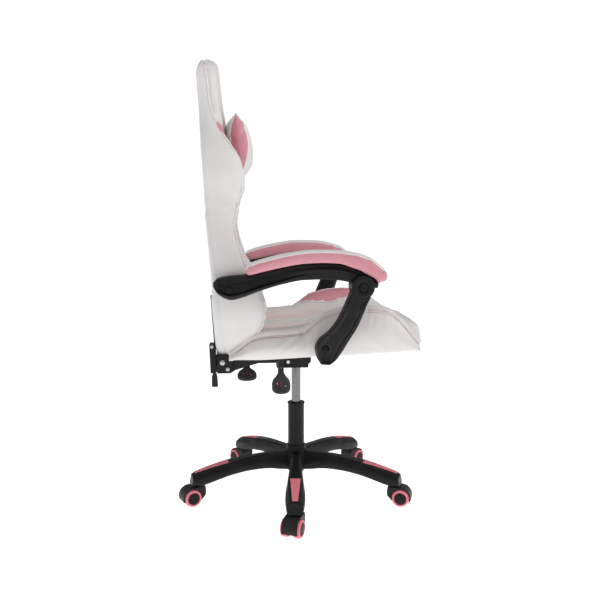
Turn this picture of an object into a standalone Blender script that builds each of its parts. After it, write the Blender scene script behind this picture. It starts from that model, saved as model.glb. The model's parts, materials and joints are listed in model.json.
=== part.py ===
"""Gaming chair with a five-leg star base, a gas lift, a rocking seat, a reclining back and linked armrests.

Metres, +Z up, +X the way the sitter faces, +Y the sitter's left. The origin is on the floor under the column.
Every sub-part is one closed solid, and a moving piece has its origin on its joint's axis.
"""

import math

import bmesh
import bpy
from mathutils import Matrix, Vector

GAP = 0.0003  # between pieces that touch
SIDES = {"right": -1, "left": 1}

# Star base
LEG_COUNT = 5
BASE_TURN = -94.5  # direction of the first leg, degrees from +X
HUB_RADIUS = 0.036
HUB_LOW = 0.078
HUB_TOP = 0.131
LEG_BOTTOM = 0.0575
LEG_TOP_LINE = [(0.02, 0.128), (0.08, 0.1345), (0.15, 0.133), (0.214, 0.1225), (0.27, 0.109),
                (0.3265, 0.0925)]
LEG_BOTTOM_LINE = [(0.02, 0.082), (0.07, 0.091), (0.14, 0.087), (0.21, 0.0695), (0.268, LEG_BOTTOM),
                   (0.332, LEG_BOTTOM)]
LEG_TOP_HALF = [(0.02, 0.016), (0.10, 0.0145), (0.214, 0.0195), (0.27, 0.0165), (0.3265, 0.0115)]
LEG_SIDE_HALF = [(0.02, 0.020), (0.10, 0.0195), (0.20, 0.0245), (0.27, 0.0280), (0.3265, 0.0195)]
LEG_STATIONS = [0.02, 0.06, 0.10, 0.14, 0.18, 0.214, 0.242, 0.27, 0.298, 0.3265]
LEG_END_SLANT = 0.0055
INSERT_STATIONS = [0.214, 0.24, 0.266, 0.292, 0.318]
INSERT_HALF = [(0.214, 0.0152), (0.318, 0.0075)]
INSERT_DEPTH = 0.0026
INSERT_PROUD = 0.0008

# Casters
CASTER_REACH = 0.310  # column axis to caster stem
CASTER_TRAIL = 0.020  # stem to axle
CASTER_HEADINGS = [-114.0, -19.0, 46.0, 126.0, 204.0]
WHEEL_RADIUS = 0.025
WHEEL_INNER = 0.0080
WHEEL_OUTER = 0.0285
WEB_HALF = 0.0075
HOOD_HALF = 0.0220
HOOD_RADIUS = 0.0302
HOOD_CLEARANCE = 0.0264
HOOD_TOP = 0.0565
STEM_RADIUS = 0.0055
STEM_TOP = 0.088
AXLE_RADIUS = 0.004
AXLE_HALF = 0.0215

# Gas lift
COLUMN_RADIUS = 0.025
COLUMN_BORE = 0.0165
COLUMN_LOW = 0.066
COLUMN_TOP = 0.281
GUIDE_LOW = 0.216
COLLAR_RADIUS = 0.0262
SPRING_RADIUS = 0.014
SPRING_LOW = 0.190
SPRING_TOP = 0.4365
ROD_RADIUS = 0.005
ROD_TOP = 0.300
BUTTON_RADIUS = 0.004
BUTTON_DEPTH = 0.011

# Seat mechanism
TILT_X = -0.030
TILT_Z = 0.4305
PLATE_HALF = 0.100
PLATE_REAR = -0.181
PLATE_FRONT = 0.037
PLATE_LOW_REAR = 0.428
PLATE_LOW_FRONT = 0.4235
TRAY_REAR = -0.062
TRAY_FRONT = 0.032
TRAY_LOW = 0.4065
TRAY_HALF = 0.070
HEIGHT_LEVER_X = -0.052
HEIGHT_LEVER_Y = -0.045
HEIGHT_LEVER_Z = 0.4175
HEIGHT_LEVER_DROOP = 60.0
TILT_LEVER_X = -0.150
TILT_LEVER_Y = -0.075
TILT_LEVER_Z = 0.4225
TILT_LEVER_DROOP = 20.0
LEVER_START = -0.106  # where the plastic paddle begins on its rod
LEVER_ROD_RADIUS = 0.0035
FINGER_LOW = 0.4418  # underside of the finger that presses the release button
PRESSED_WALL = 0.003
SHAFT_RADIUS = 0.005

# Seat
SEAT_REAR = -0.190
SEAT_EDGE_REAR = 0.463  # height of the cover's lower edge at the rear
SEAT_SLOPE = 0.0408
SEAT_FRONT = 0.366
SEAT_BOW = 0.73  # the front edge falls back by this times y squared
SEAT_HALF = 0.250
BOLSTER_INNER = 0.150
FRAME_LOW = -0.003  # underside of the seat frame, from the cover's lower edge
FRAME_HIGH = 0.013
RAIL_INNER = 0.183
RAIL_OUTER = 0.203
FRAME_REAR = -0.183
FRAME_FRONT = 0.262
SEAT_RIDGE = [(-0.188, 0.475), (-0.169, 0.488), (-0.136, 0.512), (-0.105, 0.524), (-0.04, 0.530),
              (0.0, 0.536), (0.06, 0.579), (0.11, 0.593), (0.19, 0.600), (0.232, 0.594), (0.265, 0.571),
              (0.296, 0.535), (0.324, 0.500)]
SEAT_CENTRE = [(-0.170, 0.503), (-0.150, 0.520), (-0.10, 0.531), (0.0, 0.536), (0.12, 0.545), (0.22, 0.555),
               (0.29, 0.557), (0.335, 0.543), (0.358, 0.519), (0.366, 0.492)]
SEAT_BEND_FROM = 0.15  # forward of this, the cross-sections follow the bowed front edge

# Back, in its own leaning frame: n forward of the recline pivot, v up along the back
RECLINE_X = -0.217
RECLINE_Z = 0.455
BACK_LEAN = math.radians(3.58)
BACK_REAR = -0.0145
COVER_THICK = 0.0052
BACK_LOW = 0.025
BACK_TOP = 0.845
WING_TOP = 0.667
BACK_WIDTH = [(0.025, 0.212), (0.08, 0.238), (0.15, 0.254), (0.22, 0.255), (0.30, 0.247), (0.38, 0.240),
              (0.45, 0.246), (0.52, 0.258), (0.57, 0.255), (0.62, 0.230), (0.667, 0.190), (0.71, 0.165),
              (0.75, 0.154), (0.80, 0.143), (0.83, 0.124), (0.845, 0.100)]
WING_RIDGE = [(0.025, 0.036), (0.047, 0.067), (0.072, 0.098), (0.098, 0.118), (0.143, 0.129),
              (0.194, 0.120), (0.261, 0.0855), (0.31, 0.072), (0.365, 0.064), (0.425, 0.0745), (0.49, 0.096),
              (0.536, 0.0905), (0.587, 0.066), (0.63, 0.047), (0.667, 0.040)]
BACK_CENTRE = [(0.025, 0.034), (0.06, 0.050), (0.16, 0.062), (0.25, 0.058), (0.36, 0.050), (0.50, 0.047),
               (0.64, 0.046), (0.72, 0.040), (0.815, 0.036), (0.837, 0.024), (0.845, 0.008)]
CENTRE_HALF = 0.150
POCKET_FRONT = 0.0140
POCKET_MARGIN = 0.018
POCKET_LOW = 0.032
POCKET_TOP = 0.6755
FRAME_TUBE = 0.010
FRAME_BAR = 0.008
FRAME_BAR_HEIGHTS = (0.127, 0.365, 0.555)
FRAME_MARGIN = 0.034
FRAME_DEPTH = BACK_REAR + COVER_THICK + 0.0012 + FRAME_TUBE
FRAME_TUBE_LOW = 0.050
FRAME_TUBE_TOP = 0.655
TUBE_SIDES = 10
ARM_TAB_V = 0.2045
BRACKET_REAR = -0.254
BRACKET_FRONT = -0.2349
BRACKET_LOW = 0.425
BRACKET_TOP = 0.504
STRAP_TOP_V = 0.185
STRAP_THICK = 0.0045
RECLINER_RADIUS = 0.0225

# Linked armrests, right-hand side; the left mirrors it
ARM_PIVOT = (-0.196, 0.662)
ELBOW = (0.150, 0.672)
ARM_TOP_LINE = [(-0.236, 0.682), (-0.226, 0.690), (-0.166, 0.6945), (-0.115, 0.700), (-0.056, 0.7125),
                (0.0, 0.7225), (0.062, 0.7265), (0.115, 0.720), (0.156, 0.706), (0.192, 0.683)]
ARM_LOW_LINE = [(-0.236, 0.672), (-0.228, 0.657), (-0.212, 0.643), (-0.190, 0.6365), (-0.165, 0.642),
                (-0.121, 0.659), (-0.064, 0.677), (0.0, 0.6885), (0.05, 0.692), (0.10, 0.688),
                (0.15, 0.678), (0.192, 0.671)]
ARM_OUTER_LINE = [(-0.236, 0.298), (-0.17, 0.300), (-0.10, 0.310), (0.0, 0.325), (0.08, 0.330),
                  (0.192, 0.330)]
ARM_INNER_LINE = [(-0.236, 0.2655), (-0.17, 0.2655), (-0.08, 0.269), (0.0, 0.273), (0.192, 0.273)]
ARM_RECESS_LINE = [(-0.236, 0.0), (-0.215, 0.006), (-0.10, 0.006), (0.02, 0.003), (0.12, 0.0), (0.192, 0.0)]
ARM_STATIONS = [-0.236, -0.226, -0.210, -0.190, -0.165, -0.150, -0.12, -0.08, -0.03, 0.02, 0.07, 0.11,
                0.145, 0.175, 0.192]
KNUCKLE_RADIUS = 0.030
EYE_RADIUS = 0.0265
KNUCKLE_OUTER = 0.346
SLOT_OUTER = 0.3262
SLOT_INNER = 0.2950
LUG_INNER = 0.273
PAD_TOP_LINE = [(-0.150, 0.724), (-0.135, 0.735), (-0.094, 0.748), (-0.041, 0.760), (0.02, 0.7675),
                (0.08, 0.767), (0.13, 0.761), (0.165, 0.750), (0.195, 0.729), (0.214, 0.704)]
PAD_STATIONS = [-0.150, -0.12, -0.08, -0.03, 0.02, 0.07, 0.11, 0.145, 0.175, 0.198, 0.210, 0.215]
PAD_INNER = 0.268
PAD_OUTER = 0.348
PAD_NOSE_FROM = 0.17  # forward of this, the pad hangs below the arm's top line
PAD_NOSE_LOW = 0.6985
STRUT_EDGES = [  # left edge x, z, right edge x, z, outer y, inner y, recess
    (0.121, 0.660, 0.170, 0.646, 0.346, 0.297, 0.000),
    (0.105, 0.622, 0.161, 0.626, 0.344, 0.297, 0.003),
    (0.089, 0.588, 0.151, 0.598, 0.338, 0.294, 0.005),
    (0.066, 0.555, 0.135, 0.560, 0.331, 0.287, 0.006),
    (0.042, 0.532, 0.118, 0.530, 0.322, 0.278, 0.006),
    (0.033, 0.507, 0.101, 0.498, 0.312, 0.267, 0.006),
    (0.037, 0.481, 0.086, 0.474, 0.304, 0.2605, 0.005),
    (0.046, 0.463, 0.070, 0.461, 0.300, 0.260, 0.000),
]
PIVOT_BOLT_RADIUS = 0.004
HOLE_RADIUS = 0.0043
SHANK_INNER = 0.2735  # inner end of the elbow bolt
TILT_PIVOT = (TILT_X, 0, TILT_Z)
RECLINE_PIVOT = (RECLINE_X, 0, RECLINE_Z)
ARM_AXIS = (ARM_PIVOT[0], 0, ARM_PIVOT[1])
ELBOW_AXIS = (ELBOW[0], 0, ELBOW[1])


def remove_everything():
    for existing in list(bpy.data.objects):
        bpy.data.objects.remove(existing, do_unlink=True)


def make_material(name, colour, roughness, metallic=0.0):
    material = bpy.data.materials.new(name)
    material.use_nodes = True
    shader = material.node_tree.nodes["Principled BSDF"]
    shader.inputs["Base Color"].default_value = (*colour, 1.0)
    shader.inputs["Roughness"].default_value = roughness
    shader.inputs["Metallic"].default_value = metallic
    return material


PALETTE = {
    "nylon": ((0.018, 0.018, 0.020), 0.45, 0.0),
    "rose_nylon": ((0.62, 0.16, 0.20), 0.45, 0.0),
    "black_steel": ((0.015, 0.015, 0.016), 0.40, 0.6),
    "chrome": ((0.45, 0.46, 0.48), 0.18, 1.0),
    "zinc": ((0.60, 0.60, 0.62), 0.30, 1.0),
    "white_leather": ((0.80, 0.77, 0.76), 0.45, 0.0),
    "rose_leather": ((0.68, 0.32, 0.36), 0.45, 0.0),
    "grey_plastic": ((0.20, 0.20, 0.21), 0.50, 0.0),
}


def interpolate(points, at):
    """Height of a straight-line graph through the points, flat beyond its ends."""
    if at <= points[0][0]:
        return points[0][1]
    for (x0, y0), (x1, y1) in zip(points, points[1:]):
        if at <= x1:
            return y0 + (y1 - y0) * (at - x0) / (x1 - x0)
    return points[-1][1]


def add_object(name, mesh_data, finish, origin=(0.0, 0.0, 0.0), flip=False):
    """Turns a bmesh in world coordinates into an object whose origin is at the given point."""
    if flip:
        bmesh.ops.scale(mesh_data, vec=(1, -1, 1), verts=mesh_data.verts)
        origin = (origin[0], -origin[1], origin[2])
    bmesh.ops.translate(mesh_data, vec=-Vector(origin), verts=mesh_data.verts)
    bmesh.ops.recalc_face_normals(mesh_data, faces=mesh_data.faces)
    mesh = bpy.data.meshes.new(name)
    mesh_data.to_mesh(mesh)
    mesh_data.free()
    mesh.shade_smooth()
    mesh.set_sharp_from_angle(angle=math.radians(35))
    obj = bpy.data.objects.new(name, mesh)
    obj.location = origin
    bpy.context.scene.collection.objects.link(obj)
    mesh.materials.append(make_material(name, *PALETTE[finish]))
    return obj


def cutter_object(name, mesh_data, flip=False):
    cutter = add_object(name, mesh_data, "nylon", flip=flip)
    cutter.hide_render = True
    cutter.display_type = "WIRE"
    return cutter


def combine(target, operation, tool_mesh, flip=False):
    """Adds a Boolean with a new hidden tool to the target."""
    tool = cutter_object(f"{target.name}_tool_{len(target.modifiers)}", tool_mesh, flip)
    modifier = target.modifiers.new(operation.lower(), "BOOLEAN")
    modifier.operation = operation
    modifier.solver = "EXACT"
    modifier.object = tool


def loft(rings):
    """A closed solid through rings with the same number of points, capped at both ends."""
    bm = bmesh.new()
    rows = [[bm.verts.new(point) for point in ring] for ring in rings]
    for lower, upper in zip(rows, rows[1:]):
        for i in range(len(lower)):
            j = (i + 1) % len(lower)
            bm.faces.new((lower[i], lower[j], upper[j], upper[i]))
    bm.faces.new(rows[0][::-1])
    bm.faces.new(rows[-1])
    return bm


def box(low, high):
    bm = bmesh.new()
    size = Vector(high) - Vector(low)
    centre = (Vector(high) + Vector(low)) / 2
    bmesh.ops.create_cube(bm, size=1.0, matrix=Matrix.Translation(centre) @ Matrix.Diagonal((*size, 1.0)))
    return bm


def prism(outline, low, high):
    """A solid with an outline in x and z, from y = low to y = high."""
    return loft([[(x, y, z) for x, z in outline] for y in (low, high)])


def turned(profile, steps=32, along="z", centre=(0.0, 0.0, 0.0)):
    """A solid of revolution about z or y. The profile is a closed loop of (radius, height) that stays off
    the axis or touches it at its two ends."""
    bm = bmesh.new()
    touches_axis = profile[0][0] == 0.0 and profile[-1][0] == 0.0
    ring_points = profile[1:-1] if touches_axis else profile
    columns = []
    for step in range(steps):
        angle = 2 * math.pi * step / steps
        columns.append([bm.verts.new((r * math.cos(angle), r * math.sin(angle), h)) for r, h in ring_points])
    poles = []
    if touches_axis:
        poles = [bm.verts.new((0, 0, profile[0][1])), bm.verts.new((0, 0, profile[-1][1]))]
    for here, there in zip(columns, columns[1:] + columns[:1]):
        pairs = list(zip(range(len(here)), range(1, len(here))))
        if not touches_axis:
            pairs.append((len(here) - 1, 0))
        for i, j in pairs:
            bm.faces.new((here[i], there[i], there[j], here[j]))
        if touches_axis:
            bm.faces.new((poles[0], there[0], here[0]))
            bm.faces.new((poles[1], here[-1], there[-1]))
    turn = Matrix.Rotation(math.radians(-90), 4, "X") if along == "y" else Matrix.Identity(4)
    bmesh.ops.transform(bm, matrix=Matrix.Translation(centre) @ turn, verts=bm.verts)
    return bm


def cylinder(radius, low, high, along="z", centre=(0.0, 0.0, 0.0), steps=24):
    return turned([(0.0, low), (radius, low), (radius, high), (0.0, high)], steps, along, centre)


def ring(inner, outer, low, high, along="z", centre=(0.0, 0.0, 0.0), steps=32):
    return turned([(inner, low), (outer, low), (outer, high), (inner, high)], steps, along, centre)


def leg_rotation(index):
    return Matrix.Rotation(math.radians(BASE_TURN + 360.0 / LEG_COUNT * index), 4, "Z")


# ---------------------------------------------------------------- star base

def leg_section(radius):
    """Six points across a leg: two on top, two at the widest line, two underneath."""
    top = interpolate(LEG_TOP_LINE, radius)
    low = interpolate(LEG_BOTTOM_LINE, radius)
    side = interpolate(LEG_SIDE_HALF, radius)
    crown = interpolate(LEG_TOP_HALF, radius)
    slant = LEG_END_SLANT if radius == LEG_STATIONS[-1] else 0.0
    middle = low + 0.45 * (top - low)
    half = [(radius, crown, top), (radius + slant / 2, side, middle), (radius + slant, side - 0.003, low)]
    return half + [(x, -y, z) for x, y, z in half[::-1]]


def insert_solid(grow, above):
    """The coloured strip in a leg's top, or its recess when grown a little."""
    rings = []
    for radius in INSERT_STATIONS:
        reach = radius
        if radius == INSERT_STATIONS[0]:
            reach -= grow
        if radius == INSERT_STATIONS[-1]:
            reach += grow
        half = interpolate(INSERT_HALF, radius) + grow
        top = interpolate(LEG_TOP_LINE, radius)
        low = top - INSERT_DEPTH - grow
        rings.append([(reach, half, top + above), (reach, half, low), (reach, -half, low),
                      (reach, -half, top + above)])
    return loft(rings)


def make_star_base():
    bore = COLUMN_RADIUS + GAP
    hub = turned([(bore, HUB_LOW), (HUB_RADIUS - 0.003, HUB_LOW), (HUB_RADIUS, HUB_LOW + 0.003),
                  (HUB_RADIUS, HUB_TOP - 0.004), (HUB_RADIUS - 0.004, HUB_TOP), (bore, HUB_TOP)], 32)
    base = add_object("star_base", hub, "nylon")
    for index in range(LEG_COUNT):
        turn = leg_rotation(index)
        leg = loft([leg_section(radius) for radius in LEG_STATIONS])
        bmesh.ops.transform(leg, matrix=turn, verts=leg.verts)
        combine(base, "UNION", leg)
    combine(base, "DIFFERENCE", cylinder(bore, HUB_LOW - 0.01, HUB_TOP + 0.02, steps=32))
    for index in range(LEG_COUNT):
        turn = leg_rotation(index)
        recess = insert_solid(GAP, 0.01)
        bmesh.ops.transform(recess, matrix=turn, verts=recess.verts)
        combine(base, "DIFFERENCE", recess)
        socket = cylinder(STEM_RADIUS + GAP, LEG_BOTTOM - 0.01, STEM_TOP + 0.001,
                          centre=(CASTER_REACH, 0, 0), steps=12)
        bmesh.ops.transform(socket, matrix=turn, verts=socket.verts)
        combine(base, "DIFFERENCE", socket)
        strip = insert_solid(0.0, INSERT_PROUD)
        bmesh.ops.transform(strip, matrix=turn, verts=strip.verts)
        add_object(f"leg_insert_{index + 1}", strip, "rose_nylon")


# ---------------------------------------------------------------- casters

def caster_outline():
    """Side outline of a caster housing, stem axis at x = 0 and axle at x = CASTER_TRAIL."""
    points = [(-0.0195, 0.030), (-0.0205, 0.046), (-0.0185, HOOD_TOP)]
    for degrees in range(95, -20, -14):
        angle = math.radians(degrees)
        height = min(WHEEL_RADIUS + HOOD_RADIUS * math.sin(angle), HOOD_TOP)
        points.append((CASTER_TRAIL + HOOD_RADIUS * math.cos(angle), height))
    points += [(0.037, 0.011), (0.012, 0.009), (-0.006, 0.016)]
    return points


def make_casters():
    for index, heading in enumerate(CASTER_HEADINGS):
        number = index + 1
        stem = leg_rotation(index) @ Vector((CASTER_REACH, 0, 0))
        turn = Matrix.Translation(stem) @ Matrix.Rotation(math.radians(heading), 4, "Z")

        def placed(mesh_data, matrix=turn):
            bmesh.ops.transform(mesh_data, matrix=matrix, verts=mesh_data.verts)
            return mesh_data

        axle_centre = (CASTER_TRAIL, 0, WHEEL_RADIUS)
        hood = placed(prism(caster_outline(), -HOOD_HALF, HOOD_HALF))
        housing = add_object(f"caster_{number}_housing", hood, "nylon", origin=stem)
        for side in SIDES.values():
            near, far = sorted((side * WEB_HALF, side * 2 * HOOD_HALF))
            combine(housing, "DIFFERENCE", placed(cylinder(HOOD_CLEARANCE, near, far, "y", axle_centre, 24)))
        axle = cylinder(AXLE_RADIUS, -AXLE_HALF, AXLE_HALF, "y", axle_centre, 12)
        combine(housing, "UNION", placed(axle))
        combine(housing, "UNION", placed(cylinder(STEM_RADIUS, HOOD_TOP - 0.01, STEM_TOP, steps=12)))
        for side, sign in SIDES.items():
            rim = [(0.0, AXLE_HALF + 0.001), (AXLE_RADIUS + GAP, AXLE_HALF + 0.001),
                   (AXLE_RADIUS + GAP, WHEEL_INNER), (WHEEL_RADIUS - 0.0015, WHEEL_INNER),
                   (WHEEL_RADIUS, WHEEL_INNER + 0.0015), (WHEEL_RADIUS, WHEEL_OUTER - 0.004),
                   (WHEEL_RADIUS - 0.002, WHEEL_OUTER - 0.001), (0.019, WHEEL_OUTER), (0.0, WHEEL_OUTER)]
            wheel = turned([(r, sign * h) for r, h in rim], 20, "y", axle_centre)
            wheel_centre = turn @ Vector(axle_centre)
            add_object(f"caster_{number}_wheel_{side}", placed(wheel), "rose_nylon", origin=wheel_centre)


# ---------------------------------------------------------------- gas lift

def make_gas_lift():
    rod_bore = ROD_RADIUS + GAP
    floor_top = COLUMN_LOW + 0.004
    column = [(rod_bore, COLUMN_LOW), (COLUMN_RADIUS - 0.003, COLUMN_LOW),
              (COLUMN_RADIUS, COLUMN_LOW + 0.006), (COLUMN_RADIUS, COLUMN_TOP), (COLUMN_BORE, COLUMN_TOP),
              (COLUMN_BORE, floor_top), (rod_bore, floor_top)]
    add_object("column_tube", turned(column, 32), "black_steel")
    collar_low = COLUMN_TOP + GAP
    spring_bore = SPRING_RADIUS + GAP
    bushing = [(spring_bore, GUIDE_LOW), (COLUMN_BORE - GAP, GUIDE_LOW), (COLUMN_BORE - GAP, collar_low),
               (COLLAR_RADIUS, collar_low), (COLLAR_RADIUS, collar_low + 0.003),
               (COLLAR_RADIUS - 0.002, collar_low + 0.005), (spring_bore, collar_low + 0.005)]
    add_object("guide_bushing", turned(bushing, 32), "nylon")
    bearing_low = floor_top + GAP
    bearing_top = bearing_low + 0.008
    add_object("thrust_bearing", ring(rod_bore, 0.013, bearing_low, bearing_top, steps=24), "zinc")
    clip = ring(rod_bore, 0.009, COLUMN_LOW - 0.0025, COLUMN_LOW - GAP, steps=20)
    add_object("retaining_clip", clip, "zinc")
    shoulder = bearing_top + GAP
    rod = [(0.0, COLUMN_LOW - 0.006), (ROD_RADIUS, COLUMN_LOW - 0.006), (ROD_RADIUS, shoulder),
           (0.010, shoulder), (0.010, shoulder + 0.003), (ROD_RADIUS, shoulder + 0.003),
           (ROD_RADIUS, ROD_TOP), (0.0, ROD_TOP)]
    add_object("piston_rod", turned(rod, 24), "chrome")
    button_seat = SPRING_TOP - BUTTON_DEPTH
    outside = [(0.0, SPRING_LOW), (SPRING_RADIUS, SPRING_LOW), (SPRING_RADIUS, SPRING_TOP - 0.002),
               (SPRING_RADIUS - 0.002, SPRING_TOP), (HOLE_RADIUS, SPRING_TOP), (HOLE_RADIUS, button_seat),
               (0.0, button_seat)]
    tube = add_object("gas_spring_tube", turned(outside, 24), "chrome")
    chamber = 0.0115
    inside = [(0.0, SPRING_LOW - 0.01), (rod_bore, SPRING_LOW - 0.01), (rod_bore, SPRING_LOW + 0.010),
              (chamber, SPRING_LOW + 0.010), (chamber, SPRING_TOP - 0.018), (0.0, SPRING_TOP - 0.018)]
    combine(tube, "DIFFERENCE", turned(inside, 24))
    button = cylinder(BUTTON_RADIUS, SPRING_TOP - 0.0065, FINGER_LOW - GAP, steps=16)
    add_object("release_button", button, "zinc", origin=(0, 0, SPRING_TOP))


# ---------------------------------------------------------------- mechanism and levers

def seat_edge(x):
    """Height of the cover's lower edge along the seat, which rises a little to the front."""
    return SEAT_EDGE_REAR + SEAT_SLOPE * (x - SEAT_REAR)


def slope_to_seat(mesh_data):
    """Shears a level solid, built with z counted from the cover's lower edge, up onto the seat's slope."""
    for vertex in mesh_data.verts:
        vertex.co.z += seat_edge(vertex.co.x)
    return mesh_data


def paddle(axis_x, rod_z, droop):
    """Flat plastic handle that hangs outward and down from the end of a lever's rod."""
    edge = [(0.0, 0.009), (0.040, 0.009), (0.058, 0.0245), (0.075, 0.0275), (0.092, 0.0265), (0.101, 0.018)]
    outline = edge + [(along, -wide) for along, wide in edge[::-1]]
    half = 0.0032
    handle = loft([[(wide, -along, level) for along, wide in outline] for level in (-half, half)])
    turn = Matrix.Translation((axis_x, LEVER_START, rod_z)) @ Matrix.Rotation(math.radians(droop), 4, "X")
    bmesh.ops.transform(handle, matrix=turn, verts=handle.verts)
    return handle


def make_mechanism():
    wall = PRESSED_WALL
    shaft_hole = cylinder(SHAFT_RADIUS + GAP, -0.12, 0.12, "y", TILT_PIVOT, 20)
    side = [(TRAY_REAR, TRAY_LOW), (TRAY_FRONT, TRAY_LOW), (TRAY_FRONT, 0.4365), (-0.044, 0.4365),
            (TRAY_REAR, 0.429)]
    tray = add_object("mechanism_base", prism(side, -TRAY_HALF, TRAY_HALF), "black_steel")
    combine(tray, "DIFFERENCE", box((TRAY_REAR + wall, -TRAY_HALF + wall, TRAY_LOW + wall),
                                    (TRAY_FRONT - wall, TRAY_HALF - wall, 0.5)))
    combine(tray, "UNION", cylinder(0.020, TRAY_LOW + 0.001, 0.432, steps=32))
    combine(tray, "DIFFERENCE", cylinder(SPRING_RADIUS + GAP, TRAY_LOW - 0.01, 0.45, steps=32))
    slot_half = 0.0055
    combine(tray, "DIFFERENCE", box((HEIGHT_LEVER_X - slot_half, -0.08, TRAY_LOW + 0.005),
                                    (HEIGHT_LEVER_X + slot_half, -0.06, 0.45)))
    combine(tray, "DIFFERENCE", shaft_hole.copy())
    shaft = cylinder(SHAFT_RADIUS, -PLATE_HALF - 0.0025, PLATE_HALF + 0.0025, "y", TILT_PIVOT, 20)
    add_object("tilt_shaft", shaft, "zinc", origin=TILT_PIVOT)

    under_seat = 0.0033
    top_rear = seat_edge(PLATE_REAR) - under_seat
    top_front = seat_edge(PLATE_FRONT) - under_seat
    notch_rear, notch_front, notch_top = -0.064, -0.041, 0.434
    outline = [(PLATE_REAR, PLATE_LOW_REAR), (notch_rear, PLATE_LOW_REAR), (notch_rear, notch_top),
               (notch_front, notch_top), (notch_front, PLATE_LOW_FRONT), (0.030, PLATE_LOW_FRONT),
               (PLATE_FRONT, 0.430), (PLATE_FRONT, top_front), (PLATE_REAR, top_rear)]
    body = prism(outline, -PLATE_HALF, PLATE_HALF)
    plate = add_object("seat_plate", body, "black_steel", origin=TILT_PIVOT)
    room = [(PLATE_REAR + wall, 0.40), (PLATE_FRONT - wall, 0.40), (PLATE_FRONT - wall, top_front - wall),
            (PLATE_REAR + wall, top_rear - wall)]
    combine(plate, "DIFFERENCE", prism(room, -PLATE_HALF + wall, PLATE_HALF - wall))
    ear_half, ear_thick = 0.006, 0.004
    for ear_x in (TILT_LEVER_X - 0.0085, TILT_LEVER_X + 0.0045):
        ear = box((ear_x, TILT_LEVER_Y - ear_half, TILT_LEVER_Z - ear_half),
                  (ear_x + ear_thick, TILT_LEVER_Y + ear_half, top_rear - 0.001))
        combine(plate, "UNION", ear)
    combine(plate, "DIFFERENCE", shaft_hole)


def make_levers():
    radius = LEVER_ROD_RADIUS
    x, y, z = HEIGHT_LEVER_X, HEIGHT_LEVER_Y, HEIGHT_LEVER_Z
    lever = add_object("height_lever", paddle(x, z, HEIGHT_LEVER_DROOP), "nylon", origin=(x, y, z))
    combine(lever, "UNION", cylinder(radius, LEVER_START - 0.012, -0.030, "y", (x, 0, z), 12))
    combine(lever, "UNION", box((x - radius, -0.036, z - 0.003), (x + radius, -0.028, FINGER_LOW + 0.003)))
    combine(lever, "UNION", box((x - radius, -0.0365, FINGER_LOW), (0.006, -0.026, FINGER_LOW + 0.0035)))
    combine(lever, "UNION", box((-0.006, -0.034, FINGER_LOW + 0.0002), (0.0055, 0.005, FINGER_LOW + 0.0033)))
    x, y, z = TILT_LEVER_X, TILT_LEVER_Y, TILT_LEVER_Z
    lever = add_object("tilt_lever", paddle(x, z, TILT_LEVER_DROOP), "nylon", origin=(x, y, z))
    combine(lever, "UNION", cylinder(radius, LEVER_START - 0.012, -0.055, "y", (x, 0, z), 12))


# ---------------------------------------------------------------- seat

def seat_front_at(y):
    return SEAT_FRONT - SEAT_BOW * y * y


def make_seat_frame():
    overlap = 0.0002  # pieces to be joined reach this far into each other
    bar_width = 0.025
    rear_bar = box((FRAME_REAR, -RAIL_OUTER, FRAME_LOW), (FRAME_REAR + bar_width, RAIL_OUTER, FRAME_HIGH))
    frame = add_object("seat_frame", slope_to_seat(rear_bar), "black_steel", origin=TILT_PIVOT)
    for side in SIDES.values():
        near, far = sorted((side * RAIL_INNER, side * (RAIL_OUTER + overlap)))
        rail = box((FRAME_REAR - overlap, near, FRAME_LOW - overlap),
                   (FRAME_FRONT, far, FRAME_HIGH + overlap))
        combine(frame, "UNION", slope_to_seat(rail))
    for bar_x in (-0.075, 0.020, 0.140, FRAME_FRONT - bar_width):
        bar = box((bar_x, -RAIL_INNER - 0.005, FRAME_LOW),
                  (bar_x + bar_width - overlap, RAIL_INNER + 0.005, FRAME_HIGH))
        combine(frame, "UNION", slope_to_seat(bar))


def make_seat_cushion():
    """Centre pad: a side outline swept across the seat, with the front bowed."""
    frame_room = FRAME_HIGH + GAP
    lip, rear = FRAME_FRONT + 0.03, -0.172
    rings = []
    for y in (-BOLSTER_INNER, -0.10, -0.05, 0.0, 0.05, 0.10, BOLSTER_INNER):
        front = seat_front_at(y)
        outline = []
        for x, z in SEAT_CENTRE:
            share = min(1.0, max(0.0, (x - SEAT_BEND_FROM) / 0.15))
            outline.append((x - (SEAT_FRONT - front) * share, z))
        outline += [(front - 0.006, seat_edge(front) - 0.004), (lip, seat_edge(lip)),
                    (FRAME_FRONT + 0.002, seat_edge(FRAME_FRONT) + frame_room),
                    (rear, seat_edge(rear) + frame_room)]
        rings.append([(x, y, z) for x, z in outline])
    add_object("seat_cushion", loft(rings), "white_leather", origin=TILT_PIVOT)


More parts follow.
